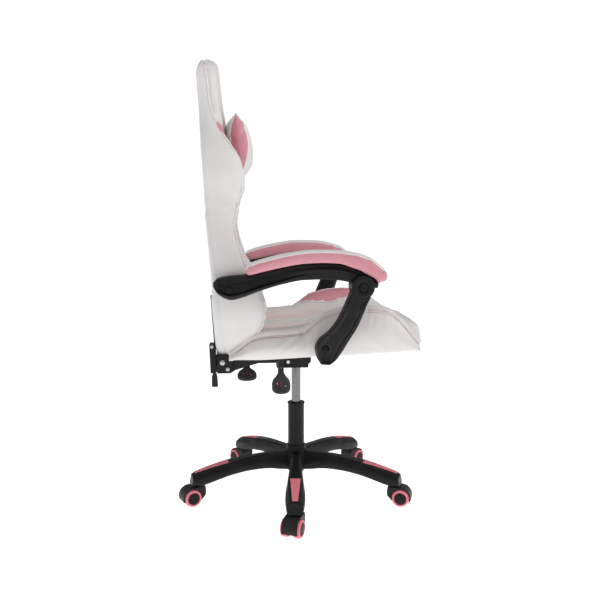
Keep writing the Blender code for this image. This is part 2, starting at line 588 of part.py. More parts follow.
def make_seat_bolsters():
    inner = BOLSTER_INNER + GAP
    frame_room = FRAME_HIGH + GAP
    stations = [-0.188, -0.169, -0.136, -0.105, -0.05, 0.0, 0.03, 0.06, 0.11, 0.15, 0.19, 0.23, 0.262, 0.295,
                0.324]
    outer_front = seat_front_at(SEAT_HALF - 0.010)
    for side in SIDES:
        rings = []
        for x in stations:
            edge = seat_edge(x)
            ridge = interpolate(SEAT_RIDGE, x)
            centre = min(interpolate(SEAT_CENTRE, x), ridge + 0.35 * (ridge - edge - 0.012))
            narrowed = 0.004 * max(0.0, (x - 0.20) / 0.12) + 0.012 * max(0.0, (-0.10 - x) / 0.09)
            width = SEAT_HALF - narrowed
            front_gain = max(0.0, (x - 0.19) / (outer_front - 0.19))
            underside = ((inner, frame_room), (RAIL_OUTER + 0.005, frame_room), (RAIL_OUTER + 0.0052, 0.0),
                         (width - 0.014, 0.0), (width - 0.002, 0.010))
            upper_side = ((width, 0.5 * (edge + ridge)), (width - 0.006, ridge - 0.006),
                          (width - 0.016, ridge), (width - 0.050, ridge - 0.3 * (ridge - centre)),
                          (inner, centre))
            section = []
            for y, above in underside:
                reach = x + front_gain * (seat_front_at(y) - outer_front)
                if above == frame_room and reach > FRAME_FRONT + 0.02:
                    above = 0.0005
                section.append((reach, -y, seat_edge(reach) + above))
            for y, z in upper_side:
                section.append((x + front_gain * (seat_front_at(y) - outer_front), -y, z))
            rings.append(section)
        bolster = loft(rings)
        add_object(f"seat_bolster_{side}", bolster, "white_leather", origin=TILT_PIVOT, flip=side == "left")


# ---------------------------------------------------------------- back

LEAN = Matrix.Translation((RECLINE_X, 0, RECLINE_Z)) @ Matrix.Rotation(-BACK_LEAN, 4, "Y")


def leaning(mesh_data):
    """Puts a solid built in the back's own frame (n, y, v) into the world."""
    bmesh.ops.transform(mesh_data, matrix=LEAN, verts=mesh_data.verts)
    return mesh_data


def back_heights(low, high, step=0.03):
    count = max(2, round((high - low) / step))
    return [low + (high - low) * i / count for i in range(count + 1)]


def pocket_solid(front, margin, low, high):
    """Room behind the foam for the tube frame; its outline follows the back's."""
    rings = []
    for v in back_heights(low, high, 0.04):
        half = interpolate(BACK_WIDTH, v) - margin
        rings.append([(front, -half, v), (front, half, v), (-0.05, half, v), (-0.05, -half, v)])
    return loft(rings)


def tube(points, radius, closed=False):
    """Round tube through points that lie in one plane of constant n."""
    rings = []
    count = len(points)
    forward = Vector((1, 0, 0))
    for i, point in enumerate(points):
        before = points[(i - 1) % count] if closed or i > 0 else point
        after = points[(i + 1) % count] if closed or i < count - 1 else point
        sideways = (Vector(after) - Vector(before)).normalized().cross(forward).normalized()
        section = []
        for k in range(TUBE_SIDES):
            angle = 2 * math.pi * k / TUBE_SIDES
            section.append(Vector(point) + radius * (forward * math.cos(angle) + sideways * math.sin(angle)))
        rings.append(section)
    if not closed:
        return loft(rings)
    bm = bmesh.new()
    rows = [[bm.verts.new(p) for p in section] for section in rings]
    for lower, upper in zip(rows, rows[1:] + rows[:1]):
        for i in range(TUBE_SIDES):
            j = (i + 1) % TUBE_SIDES
            bm.faces.new((lower[i], lower[j], upper[j], upper[i]))
    return bm


def make_back_frame():
    depth = FRAME_DEPTH
    low, high = FRAME_TUBE_LOW, FRAME_TUBE_TOP
    right = []
    for v in back_heights(low + 0.02, high - 0.02, 0.05):
        right.append((depth, -(interpolate(BACK_WIDTH, v) - FRAME_MARGIN), v))
    left = [(n, -y, v) for n, y, v in right[::-1]]
    bottom = [(depth, 0.17, low), (depth, -0.17, low)]
    top = [(depth, -0.14, high), (depth, 0.14, high)]
    loop = leaning(tube(right + top + left + bottom, FRAME_TUBE, closed=True))
    frame = add_object("back_frame", loop, "black_steel", origin=RECLINE_PIVOT)
    for v in FRAME_BAR_HEIGHTS:
        half = interpolate(BACK_WIDTH, v) - FRAME_MARGIN
        combine(frame, "UNION", leaning(tube([(depth, -half, v), (depth, half, v)], FRAME_BAR)))
    for side in SIDES.values():
        near, far = sorted((side * 0.204, side * 0.216))
        tab = box((depth - 0.007, near, ARM_TAB_V - 0.016), (0.046, far, ARM_TAB_V + 0.020))
        combine(frame, "UNION", leaning(tab))
        combine(frame, "DIFFERENCE", cylinder(HOLE_RADIUS, 0.19, 0.23, "y", ARM_AXIS, 12), flip=side < 0)


def make_back_cover():
    front = BACK_REAR + COVER_THICK
    rings = []
    for v in back_heights(BACK_LOW, BACK_TOP - 0.012, 0.05):
        half = interpolate(BACK_WIDTH, v) - 0.003
        rings.append([(BACK_REAR, -half + 0.012, v), (BACK_REAR, half - 0.012, v), (front, half, v),
                      (front, -half, v)])
    add_object("back_cover", leaning(loft(rings)), "white_leather", origin=RECLINE_PIVOT)


def make_back_cushion():
    """Centre pad and headrest in one; the wings sit beside it."""
    rear = BACK_REAR + COVER_THICK + GAP
    rings = []
    head_heights = [WING_TOP + 0.002, 0.69, 0.72, 0.75, 0.78, 0.80, 0.815, 0.83, 0.838, BACK_TOP]
    for v in back_heights(BACK_LOW, WING_TOP, 0.05) + head_heights:
        in_head = v > WING_TOP
        half = interpolate(BACK_WIDTH, v) if in_head else CENTRE_HALF
        front = interpolate(BACK_CENTRE, v)
        soft = 0.016 if in_head else 0.004
        shallow = rear + 0.3 * (front - rear) if in_head else rear + 0.001
        right = [(rear, -half + soft / 2, v), (shallow, -half, v), (front - soft, -half, v),
                 (front, -half + soft, v)]
        rings.append(right + [(front + 0.003, 0, v)] + [(n, -y, height) for n, y, height in right[::-1]])
    cushion = add_object("back_cushion", leaning(loft(rings)), "white_leather", origin=RECLINE_PIVOT)
    pocket = pocket_solid(POCKET_FRONT, POCKET_MARGIN, POCKET_LOW, POCKET_TOP)
    combine(cushion, "DIFFERENCE", leaning(pocket))


def make_back_wings():
    rear = BACK_REAR + COVER_THICK + GAP
    inner = CENTRE_HALF + GAP
    heights = [0.025, 0.036, 0.047, 0.072, 0.098, 0.120, 0.143, 0.168, 0.194, 0.228, 0.261, 0.31, 0.365,
               0.395, 0.425, 0.458, 0.49, 0.513, 0.536, 0.562, 0.587, 0.61, 0.63, WING_TOP]
    for side in SIDES:
        rings = []
        for v in heights:
            half = interpolate(BACK_WIDTH, v)
            ridge = interpolate(WING_RIDGE, v)
            centre = interpolate(BACK_CENTRE, v)
            spread = half - inner
            section = [(rear, inner), (rear, half - 0.008), (rear + 0.010, half),
                       (rear + 0.55 * (ridge - rear), half + 0.0015), (ridge - 0.008, half - 0.006),
                       (ridge, half - 0.016), (ridge - 0.005, half - 0.028),
                       (0.5 * (ridge + centre), half - 0.55 * spread), (centre, inner)]
            rings.append([(n, -y, v) for n, y in section])
        mirrored = side == "left"
        body = leaning(loft(rings))
        wing = add_object(f"back_wing_{side}", body, "white_leather", origin=RECLINE_PIVOT, flip=mirrored)
        pocket = pocket_solid(POCKET_FRONT, POCKET_MARGIN, POCKET_LOW, POCKET_TOP)
        combine(wing, "DIFFERENCE", leaning(pocket))
        tab_room = box((-0.02, -0.2175, ARM_TAB_V - 0.0175), (0.0475, -0.10, ARM_TAB_V + 0.0215))
        combine(wing, "DIFFERENCE", leaning(tab_room), flip=mirrored)
        combine(wing, "DIFFERENCE", cylinder(HOLE_RADIUS, -0.30, -0.19, "y", ARM_AXIS, 12), flip=mirrored)


def make_head_pillow():
    sides = 14
    rear_n, middle_v = 0.0510, 0.588
    rings = []
    for y in (-0.146, -0.135, -0.10, -0.05, 0.0, 0.05, 0.10, 0.135, 0.146):
        fullness = math.sqrt(1.0 - (y / 0.150) ** 2) ** 0.7
        height = 0.055 + 0.026 * fullness
        depth = 0.014 + 0.022 * fullness
        section = []
        for k in range(sides):
            angle = 2 * math.pi * k / sides
            n = depth * (1 + math.cos(angle)) + 0.010 * math.sin(angle) * fullness
            section.append((n, y, middle_v + height * math.sin(angle)))
        rings.append(section)
    lift = rear_n - min(n for section in rings for n, y, v in section)
    rings = [[(n + lift, y, v) for n, y, v in section] for section in rings]
    add_object("head_pillow", leaning(loft(rings)), "rose_leather", origin=RECLINE_PIVOT)


# ---------------------------------------------------------------- recliner

def recliner_outline():
    """Side outline of the plate on the seat, round at the top about the recline pivot."""
    outline = [(-0.232, 0.425), (-0.203, 0.425), (-0.191, 0.433), (-0.189, 0.456)]
    for degrees in range(20, 165, 18):
        angle = math.radians(degrees)
        outline.append((RECLINE_X + RECLINER_RADIUS * math.cos(angle),
                        RECLINE_Z + RECLINER_RADIUS * math.sin(angle)))
    return outline + [(-0.232, 0.470)]


def make_recliner():
    pivot = RECLINE_PIVOT
    under_seat = 0.0035
    link_outline = [(-0.211, 0.4252), (-0.192, 0.4252), (-0.182, 0.432), (-0.120, 0.450),
                    (-0.120, seat_edge(-0.12) - under_seat), (-0.181, seat_edge(-0.181) - under_seat),
                    (-0.190, 0.4575), (-0.211, 0.440)]
    bracket_outline = [(BRACKET_REAR + 0.004, BRACKET_LOW), (BRACKET_FRONT, BRACKET_LOW),
                       (BRACKET_FRONT - 0.0002, 0.472), (BRACKET_FRONT - 0.0025, BRACKET_TOP),
                       (BRACKET_REAR + 0.001, BRACKET_TOP)]
    strap_front = BACK_REAR - 0.0005
    for side in SIDES:
        mirrored = side == "left"
        plate = add_object(f"recliner_plate_{side}", prism(recliner_outline(), -0.217, -0.213), "black_steel",
                           origin=TILT_PIVOT, flip=mirrored)
        combine(plate, "UNION", prism(link_outline, -0.208, -0.2035), flip=mirrored)
        combine(plate, "UNION", box((-0.209, -0.2165, 0.4250), (-0.194, -0.204, 0.4290)), flip=mirrored)
        combine(plate, "DIFFERENCE", cylinder(HOLE_RADIUS + GAP, -0.25, -0.19, "y", pivot, 16), flip=mirrored)

        bracket = add_object(f"back_bracket_{side}", prism(bracket_outline, -0.2125, -0.170), "black_steel",
                             origin=pivot, flip=mirrored)
        strap = box((strap_front - STRAP_THICK, -0.206, 0.035), (strap_front, -0.180, STRAP_TOP_V))
        combine(bracket, "UNION", leaning(strap), flip=mirrored)
        combine(bracket, "UNION", cylinder(0.019, -0.2124, -0.2086, "y", pivot, 24), flip=mirrored)
        cheek = box((BRACKET_FRONT - 0.003, -0.2123, RECLINE_Z - 0.014),
                    (RECLINE_X, -0.2087, RECLINE_Z + 0.012))
        combine(bracket, "UNION", cheek, flip=mirrored)
        combine(bracket, "DIFFERENCE", cylinder(HOLE_RADIUS, -0.25, -0.19, "y", pivot, 16), flip=mirrored)

        bolt = turned([(0.0, -0.2225), (0.0055, -0.2225), (0.0075, -0.2205), (0.0075, -0.2173),
                       (PIVOT_BOLT_RADIUS, -0.2173), (PIVOT_BOLT_RADIUS, -0.2040), (0.0, -0.2040)],
                      16, "y", pivot)
        add_object(f"recline_bolt_{side}", bolt, "zinc", origin=TILT_PIVOT, flip=mirrored)
    grip = [(-0.2475, 0.3865), (-0.2455, 0.384), (-0.2325, 0.384), (-0.2305, 0.3865), (-0.2320, 0.4120),
            (-0.2345, 0.4205), (-0.2370, 0.4240), (-0.2420, 0.4240), (-0.2445, 0.4205), (-0.2475, 0.4120)]
    add_object("recline_lever", prism(grip, -0.202, -0.188), "nylon", origin=(-0.2395, -0.195, 0.4195))


# ---------------------------------------------------------------- armrests

def arm_section(x):
    top = interpolate(ARM_TOP_LINE, x)
    low = interpolate(ARM_LOW_LINE, x)
    outer = interpolate(ARM_OUTER_LINE, x)
    inner = interpolate(ARM_INNER_LINE, x)
    recess = interpolate(ARM_RECESS_LINE, x)
    tall = top - low
    rim = min(0.007, 0.3 * tall)
    soft = min(0.005, 0.25 * tall)
    across = [(outer, low + soft), (outer - recess, low + rim + recess / 2),
              (outer - recess, top - rim - recess / 2), (outer, top - soft), (outer - soft, top),
              (inner + soft, top), (inner, top - soft), (inner, low + soft), (inner + soft, low),
              (outer - soft, low)]
    return [(x, -y, z) for y, z in across]


def shouldered_bolt(face, head_thick, inner, axis):
    """A pivot bolt across the chair's right side: a bevelled head outside, a plain shank to inner."""
    under = face - head_thick
    return turned([(0.0, -face), (0.006, -face), (0.009, -face + 0.002), (0.009, -under),
                   (PIVOT_BOLT_RADIUS, -under), (PIVOT_BOLT_RADIUS, -inner), (0.0, -inner)], 16, "y", axis)


def make_arms():
    x, z = ELBOW
    for side in SIDES:
        flip = side == "left"
        body = loft([arm_section(station) for station in ARM_STATIONS])
        arm = add_object(f"arm_{side}", body, "nylon", origin=ARM_AXIS, flip=flip)
        combine(arm, "DIFFERENCE", cylinder(HOLE_RADIUS, -0.36, -0.25, "y", ARM_AXIS, 16), flip=flip)
        knuckle = cylinder(KNUCKLE_RADIUS, -KNUCKLE_OUTER, -LUG_INNER - 0.0015, "y", ELBOW_AXIS, 32)
        combine(arm, "UNION", knuckle, flip=flip)
        web = box((x - 0.022, -KNUCKLE_OUTER + 0.001, z + 0.018), (x + 0.010, -0.30, z + 0.029))
        combine(arm, "UNION", web, flip=flip)
        eye_room = cylinder(EYE_RADIUS + 0.001, -SLOT_OUTER, -SLOT_INNER, "y", ELBOW_AXIS, 32)
        combine(arm, "DIFFERENCE", eye_room, flip=flip)
        swing_room = box((x - 0.05, -SLOT_OUTER - 0.0001, z - 0.05),
                         (x + 0.05, -SLOT_INNER + 0.0001, z - 0.005))
        combine(arm, "DIFFERENCE", swing_room, flip=flip)
        combine(arm, "DIFFERENCE", cylinder(HOLE_RADIUS, -0.36, -0.25, "y", ELBOW_AXIS, 16), flip=flip)

        rear_bolt = shouldered_bolt(0.2985, 0.0042, 0.2030, ARM_AXIS)
        add_object(f"arm_bolt_{side}", rear_bolt, "nylon", origin=RECLINE_PIVOT, flip=flip)
        elbow_bolt = shouldered_bolt(0.3495, 0.0032, SHANK_INNER, ELBOW_AXIS)
        add_object(f"elbow_bolt_{side}", elbow_bolt, "nylon", origin=ARM_AXIS, flip=flip)


def strut_solid():
    rim = 0.16
    soft = 0.006
    rings = []
    for left_x, left_z, right_x, right_z, outer, inner, recess in STRUT_EDGES:
        section = [(0.0, outer - soft), (0.05, outer), (rim, outer - recess), (1 - rim, outer - recess),
                   (0.95, outer), (1.0, outer - soft), (1.0, inner + soft), (0.94, inner), (0.06, inner),
                   (0.0, inner + soft)]
        ring_points = []
        for t, y in section:
            ring_points.append((left_x + (right_x - left_x) * t, -y, left_z + (right_z - left_z) * t))
        rings.append(ring_points)
    return loft(rings)


def make_struts():
    clear = KNUCKLE_RADIUS + 0.0007
    for side in SIDES:
        flip = side == "left"
        strut = add_object(f"strut_{side}", strut_solid(), "nylon", origin=ELBOW_AXIS, flip=flip)
        eye = cylinder(EYE_RADIUS, -SLOT_OUTER + GAP, -SLOT_INNER - GAP, "y", ELBOW_AXIS, 32)
        combine(strut, "UNION", eye, flip=flip)
        for near, far in ((-0.36, -SLOT_OUTER + GAP), (-SLOT_INNER - GAP, -0.25)):
            combine(strut, "DIFFERENCE", cylinder(clear, near, far, "y", ELBOW_AXIS, 32), flip=flip)
        combine(strut, "DIFFERENCE", cylinder(HOLE_RADIUS, -0.36, -0.25, "y", ELBOW_AXIS, 16), flip=flip)


def pad_section(x):
    top = interpolate(PAD_TOP_LINE, x)
    low = interpolate(ARM_TOP_LINE, x) + 0.0013
    if x > PAD_NOSE_FROM:
        low = PAD_NOSE_LOW - 0.10 * (x - PAD_NOSE_FROM)
    low = min(low, top - 0.006)
    narrow = 0.006 if x in (PAD_STATIONS[0], PAD_STATIONS[-1]) else 0.0
    outer, inner = PAD_OUTER - narrow, PAD_INNER + narrow
    soft = min(0.010, 0.35 * (top - low))
    section = [(outer - 0.008, low), (outer, low + soft), (outer, top - soft), (outer - 0.010, top),
               (inner + 0.010, top), (inner, top - soft), (inner, low + soft), (inner + 0.008, low)]
    return [(x, -y, z) for y, z in section]


def make_pads():
    for side in SIDES:
        pad = loft([pad_section(x) for x in PAD_STATIONS])
        add_object(f"arm_pad_{side}", pad, "rose_leather", origin=ARM_AXIS, flip=side == "left")


def main():
    remove_everything()
    make_star_base()
    make_casters()
    make_gas_lift()
    make_mechanism()
    make_levers()
    make_seat_frame()
    make_seat_cushion()
    make_seat_bolsters()
    make_back_frame()
    make_back_cover()
    make_back_cushion()
    make_back_wings()
    make_head_pillow()
    make_recliner()
    make_arms()
    make_struts()
    make_pads()


main()
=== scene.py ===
"""Looks of the gaming chair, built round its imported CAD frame.

Everything is in metres in the frame's axes: +X the way the sitter faces, +Y the sitter's left, +Z up.
Upholstery is lofted through smooth guide lines, puckered along its seams and inflated with cloth simulation.
"""

import itertools
import json
import math

import bmesh
import bpy
import numpy as np
from mathutils import Matrix, Vector


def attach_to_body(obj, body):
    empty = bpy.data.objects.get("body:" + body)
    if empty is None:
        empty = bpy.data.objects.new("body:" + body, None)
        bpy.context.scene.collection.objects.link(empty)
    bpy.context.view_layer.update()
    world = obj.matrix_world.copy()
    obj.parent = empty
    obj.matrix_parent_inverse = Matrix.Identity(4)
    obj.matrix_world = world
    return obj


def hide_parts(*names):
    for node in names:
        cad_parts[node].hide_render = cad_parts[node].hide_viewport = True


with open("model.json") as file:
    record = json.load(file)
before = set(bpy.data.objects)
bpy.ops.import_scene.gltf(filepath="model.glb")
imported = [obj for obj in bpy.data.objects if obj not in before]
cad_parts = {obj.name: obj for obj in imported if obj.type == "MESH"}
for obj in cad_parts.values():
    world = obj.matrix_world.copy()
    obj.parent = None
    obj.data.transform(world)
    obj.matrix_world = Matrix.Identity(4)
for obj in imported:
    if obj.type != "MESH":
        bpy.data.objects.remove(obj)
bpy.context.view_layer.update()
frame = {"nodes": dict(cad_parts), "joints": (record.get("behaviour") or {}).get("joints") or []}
PIVOTS = {joint["name"]: joint.get("pos_m") for joint in frame["joints"]}  # a slide has none
SIDES = {"right": -1.0, "left": 1.0}
PRESSURE, CLOTH_FRAMES = 2.0, 12


# ---------------------------------------------------------------- smooth graphs, noise and meshes

def graph(points):
    """A smooth curve y(x) through the points that never overshoots them."""
    xs, ys = np.array(points, float).T
    steps = np.diff(xs)
    slopes = np.diff(ys) / steps
    tangents = np.zeros(len(xs))
    tangents[0], tangents[-1] = slopes[0], slopes[-1]
    for i in range(1, len(xs) - 1):
        if slopes[i - 1] * slopes[i] > 0:
            before = 2 * steps[i] + steps[i - 1]
            after = steps[i] + 2 * steps[i - 1]
            tangents[i] = (before + after) / (before / slopes[i - 1] + after / slopes[i])

    def at(x):
        x = np.clip(x, xs[0], xs[-1])
        i = np.clip(np.searchsorted(xs, x) - 1, 0, len(steps) - 1)
        t = (x - xs[i]) / steps[i]
        start = (1 + 2 * t) * (1 - t) ** 2 * ys[i] + t * (1 - t) ** 2 * steps[i] * tangents[i]
        end = t * t * (3 - 2 * t) * ys[i + 1] + t * t * (t - 1) * steps[i] * tangents[i + 1]
        return start + end

    return at


def smoothstep(low, high, x):
    t = np.clip((x - low) / (high - low), 0.0, 1.0)
    return t * t * (3 - 2 * t)


def bump(x, centre, width):
    return np.exp(-((x - centre) / width) ** 2)


def wobble(points, size, seed=0):
    """Smooth noise from -1 to 1 with features about size across, the same on every run."""
    places = np.asarray(points, float) / size
    base = np.floor(places).astype(np.int64)
    t = places - base
    t = t * t * (3 - 2 * t)
    total = np.zeros(places.shape[:-1])
    for corner in itertools.product((0, 1), repeat=3):
        cell = base + np.array(corner)
        mixed = cell[..., 0] * 374761393 + cell[..., 1] * 668265263 + cell[..., 2] * 1440662683
        mixed = (mixed + seed * 1274126177) & 0xFFFFFFFF
        mixed = ((mixed ^ (mixed >> 13)) * 1274126177) & 0xFFFFFFFF
        value = ((mixed ^ (mixed >> 16)) & 0xFFFF) / 32767.5 - 1.0
        total += value * np.prod(np.where(corner, t, 1 - t), axis=-1)
    return total


def across(controls, spans, corners=()):
    """Closed smooth loops through each row's control points: spans quads from each point to the next.

    A corner is a point where the surface breaks, such as a seam; the others are passed smoothly."""
    controls = np.asarray(controls, float)
    count = controls.shape[1]
    ahead = np.roll(controls, -1, axis=1) - controls
    reach = np.linalg.norm(ahead, axis=2, keepdims=True) + 1e-9
    forward = ahead / reach
    backward = np.roll(forward, 1, axis=1)
    reach_back = np.roll(reach, 1, axis=1)
    mean = (forward * reach_back + backward * reach) / (reach + reach_back)
    out = []
    for k in range(count):
        following = (k + 1) % count
        leave = forward[:, k] if k in corners else mean[:, k]
        arrive = forward[:, k] if following in corners else mean[:, following]
        for step in range(spans[k]):
            t = step / spans[k]
            if k in corners and following in corners:
                t = 0.5 - 0.5 * math.cos(math.pi * t)
            elif k in corners:
                t = 1 - math.cos(math.pi * t / 2)
            elif following in corners:
                t = math.sin(math.pi * t / 2)
            start = (1 + 2 * t) * (1 - t) ** 2 * controls[:, k]
            end = t * t * (3 - 2 * t) * controls[:, following]
            pull = t * (1 - t) ** 2 * leave + t * t * (t - 1) * arrive
            out.append(start + end + pull * reach[:, k])
    return np.stack(out, axis=1)


def stacked(x, y, z):
    """Points from their coordinates; a single number is shared by all of them."""
    return np.stack(np.broadcast_arrays(x, y, z), axis=-1)


def outward_normals(grid):
    """Normals of a lofted grid, facing away from the middle of its rows."""
    along = np.gradient(grid, axis=0)
    around = np.roll(grid, -1, axis=1) - np.roll(grid, 1, axis=1)
    normals = np.cross(around, along)
    normals /= np.linalg.norm(normals, axis=2, keepdims=True) + 1e-12
    middle = grid.mean(axis=1, keepdims=True)
    return normals if float(np.sum(normals * (grid - middle))) > 0 else -normals


def raised(grid, lift):
    """The grid with each point moved outwards by its lift."""
    return grid + outward_normals(grid) * lift[..., None]


def seam_distance(grid, column):
    """How far each point is from a seam column, along its own row."""
    steps = np.linalg.norm(np.roll(grid, -1, axis=1) - grid, axis=2)
    travelled = np.concatenate([np.zeros((len(grid), 1)), np.cumsum(steps, axis=1)], axis=1)
    total = travelled[:, -1:]
    gap = np.abs(travelled[:, :-1] - travelled[:, column:column + 1])
    return np.minimum(gap, total - gap)


def column_of(spans, control):
    """The grid column that a control point becomes."""
    return sum(spans[:control])


def pucker(grid, column, along_axis, depth, reach, size, seed, gate=1.0):
    """Short creases that run away from a seam, deepest next to it."""
    squeezed = 0.22 * grid
    squeezed[..., along_axis] = grid[..., along_axis]
    creases = wobble(squeezed, size, seed) + 0.5 * wobble(squeezed, size * 0.5, seed + 1)
    return creases * (depth * np.exp(-seam_distance(grid, column) / reach) * gate)


def groove(grid, column, depth, width):
    """The valley that a seam pulls into the padding."""
    return -depth * np.exp(-(seam_distance(grid, column) / width) ** 2)


def new_object(name, vertices, faces, materials, face_slots=None, smooth_angle=40):
    mesh = bpy.data.meshes.new(name)
    mesh.from_pydata([tuple(v) for v in vertices], [], [tuple(f) for f in faces])
    for material in materials:
        mesh.materials.append(material)
    if face_slots is not None:
        mesh.polygons.foreach_set("material_index", np.asarray(face_slots, np.int32))
    mesh.shade_smooth()
    if smooth_angle:
        mesh.set_sharp_from_angle(angle=math.radians(smooth_angle))
    mesh.update()
    obj = bpy.data.objects.new(name, mesh)
    bpy.context.scene.collection.objects.link(obj)
    return obj


def grid_object(name, grid, materials, paint=None, smooth_angle=50):
    """A closed skin through rows of looped points, with both ends capped. paint(row, column) is the slot."""
    rows, columns = grid.shape[:2]
    vertices = list(grid.reshape(-1, 3)) + [grid[0].mean(axis=0), grid[-1].mean(axis=0)]
    faces, slots = [], []
    for r in range(rows - 1):
        for c in range(columns):
            d = (c + 1) % columns
            faces.append((r * columns + c, r * columns + d, (r + 1) * columns + d, (r + 1) * columns + c))
            slots.append(int(paint(r, c)) if paint else 0)
    last = (rows - 1) * columns
    for c in range(columns):
        d = (c + 1) % columns
        faces.append((rows * columns, d, c))
        slots.append(int(paint(0, c)) if paint else 0)
        faces.append((rows * columns + 1, last + c, last + d))
        slots.append(int(paint(rows - 2, c)) if paint else 0)
    obj = new_object(name, vertices, faces, materials, slots, smooth_angle)
    return face_outwards(obj)


def settled_grid(obj, grid):
    """The points of a piece's own grid, as the simulation left them."""
    points = np.array([v.co for v in obj.data.vertices])
    return points[:grid.shape[0] * grid.shape[1]].reshape(grid.shape)


def face_outwards(obj):
    bm = bmesh.new()
    bm.from_mesh(obj.data)
    bmesh.ops.recalc_face_normals(bm, faces=bm.faces)
    if bm.calc_volume(signed=True) < 0:
        bmesh.ops.reverse_faces(bm, faces=bm.faces)
    bm.to_mesh(obj.data)
    bm.free()
    return obj


def tube(name, path, radius, material, sides=8, closed=False):
    """A round cord of leather or wire along the path, with closed ends."""
    path = np.asarray(path, float)
    if closed:
        ahead = np.roll(path, -1, axis=0) - np.roll(path, 1, axis=0)
    else:
        ahead = np.gradient(path, axis=0)
    ahead /= np.linalg.norm(ahead, axis=1, keepdims=True) + 1e-12
    up = np.cross(ahead[0], (0.31, 0.77, 0.55))
    up /= np.linalg.norm(up)
    rings = []
    for point, direction in zip(path, ahead):
        up = up - direction * np.dot(up, direction)
        up /= np.linalg.norm(up)
        side = np.cross(direction, up)
        angles = 2 * np.pi * np.arange(sides) / sides
        rings.append(point + radius * (np.cos(angles)[:, None] * up + np.sin(angles)[:, None] * side))
    grid = np.array(rings)
    rows = len(grid)
    vertices = list(grid.reshape(-1, 3))
    faces = []
    for r in range(rows if closed else rows - 1):
        following = (r + 1) % rows
        for c in range(sides):
            d = (c + 1) % sides
            faces.append((r * sides + c, r * sides + d, following * sides + d, following * sides + c))
    if not closed:
        faces.append(tuple(range(sides))[::-1])
        faces.append(tuple((rows - 1) * sides + c for c in range(sides)))
    return face_outwards(new_object(name, vertices, faces, [material], smooth_angle=0))


def stitches(name, path, out, material, pitch=0.0062, long=0.0040, radius=0.00055):
    """A row of short raised thread stitches along a path; out is the way they stand proud."""
    path = np.asarray(path, float)
    steps = np.linalg.norm(np.diff(path, axis=0), axis=1)
    travelled = np.concatenate([[0.0], np.cumsum(steps)])
    vertices, faces = [], []
    sides = 5
    for start in np.arange(0.003, travelled[-1] - long, pitch):
        ends = [np.array([np.interp(s, travelled, path[:, a]) for a in range(3)])
                for s in (start, start + 0.25 * long, start + 0.75 * long, start + long)]
        direction = ends[-1] - ends[0]
        direction /= np.linalg.norm(direction) + 1e-12
        away = np.array([np.interp(start, travelled, out[:, a]) for a in range(3)])
        away -= direction * np.dot(away, direction)
        away /= np.linalg.norm(away) + 1e-12
        side = np.cross(direction, away)
        first = len(vertices)
        for k, centre in enumerate(ends):
            size = radius * (0.45 if k in (0, 3) else 1.0)
            lift = -0.5 * radius if k in (0, 3) else 0.35 * radius
            for s in range(sides):
                angle = 2 * math.pi * s / sides
                proud = lift + size * math.cos(angle)
                vertices.append(centre + away * proud + side * size * math.sin(angle))
        for k in range(3):
            for s in range(sides):
                a, b = first + k * sides + s, first + k * sides + (s + 1) % sides
                faces.append((a, b, b + sides, a + sides))
        faces.append(tuple(first + s for s in range(sides))[::-1])
        faces.append(tuple(first + 3 * sides + s for s in range(sides)))
    return face_outwards(new_object(name, vertices, faces, [material], smooth_angle=0))


def turned(profile, steps=48, along="z", centre=(0.0, 0.0, 0.0)):
    """Vertices and faces of a solid of revolution whose profile starts and ends on the axis."""
    turn = Matrix.Rotation(math.radians(-90), 3, "X") if along == "y" else Matrix.Identity(3)
    vertices, faces = [], []
    inner = profile[1:-1]
    for k in range(steps):
        angle = 2 * math.pi * k / steps
        for r, h in inner:
            vertices.append(turn @ Vector((r * math.cos(angle), r * math.sin(angle), h)) + Vector(centre))
    vertices.append(turn @ Vector((0, 0, profile[0][1])) + Vector(centre))
    vertices.append(turn @ Vector((0, 0, profile[-1][1])) + Vector(centre))
    many = len(inner)
    for k in range(steps):
        here, there = k * many, ((k + 1) % steps) * many
        for i in range(many - 1):
            faces.append((here + i, there + i, there + i + 1, here + i + 1))
        faces.append((steps * many, there, here))
        faces.append((steps * many + 1, here + many - 1, there + many - 1))
    return vertices, faces


def turned_object(name, profile, materials, slots=None, steps=48, along="z", centre=(0.0, 0.0, 0.0)):
    """slots gives a material slot for each stretch of the profile between its inner points."""
    vertices, faces = turned(profile, steps, along, centre)
    stretches = len(profile) - 3
    face_slots = None
    if slots:
        face_slots = []
        for _ in range(steps):
            face_slots += list(slots[1:1 + stretches]) + [slots[0], slots[-1]]
    return face_outwards(new_object(name, vertices, faces, materials, face_slots, smooth_angle=32))


def turned_across(name, profile, sign, materials, centre, steps, slots=None):
    """A solid of revolution across the chair, whose heights count outwards on the side that sign names."""
    mirrored = [(radius, sign * height) for radius, height in profile]
    return turned_object(name, mirrored, materials, slots, steps, "y", centre)


def bevelled(obj, width, segments=2, angle=30):
    modifier = obj.modifiers.new("soft_edges", "BEVEL")
    modifier.width = width
    modifier.segments = segments
    modifier.limit_method = "ANGLE"
    modifier.angle_limit = math.radians(angle)
    return obj


def apply_modifiers(obj):
    depsgraph = bpy.context.evaluated_depsgraph_get()
    mesh = bpy.data.meshes.new_from_object(obj.evaluated_get(depsgraph))
    obj.modifiers.clear()
    obj.data = mesh
    return obj


def cut(target, operation, tool):
    """Applies a Boolean and removes its tool."""
    modifier = target.modifiers.new("boolean", "BOOLEAN")
    modifier.operation = operation
    modifier.solver = "EXACT"
    modifier.object = tool
    bpy.context.view_layer.update()
    apply_modifiers(target)
    bpy.data.objects.remove(tool, do_unlink=True)
    return target


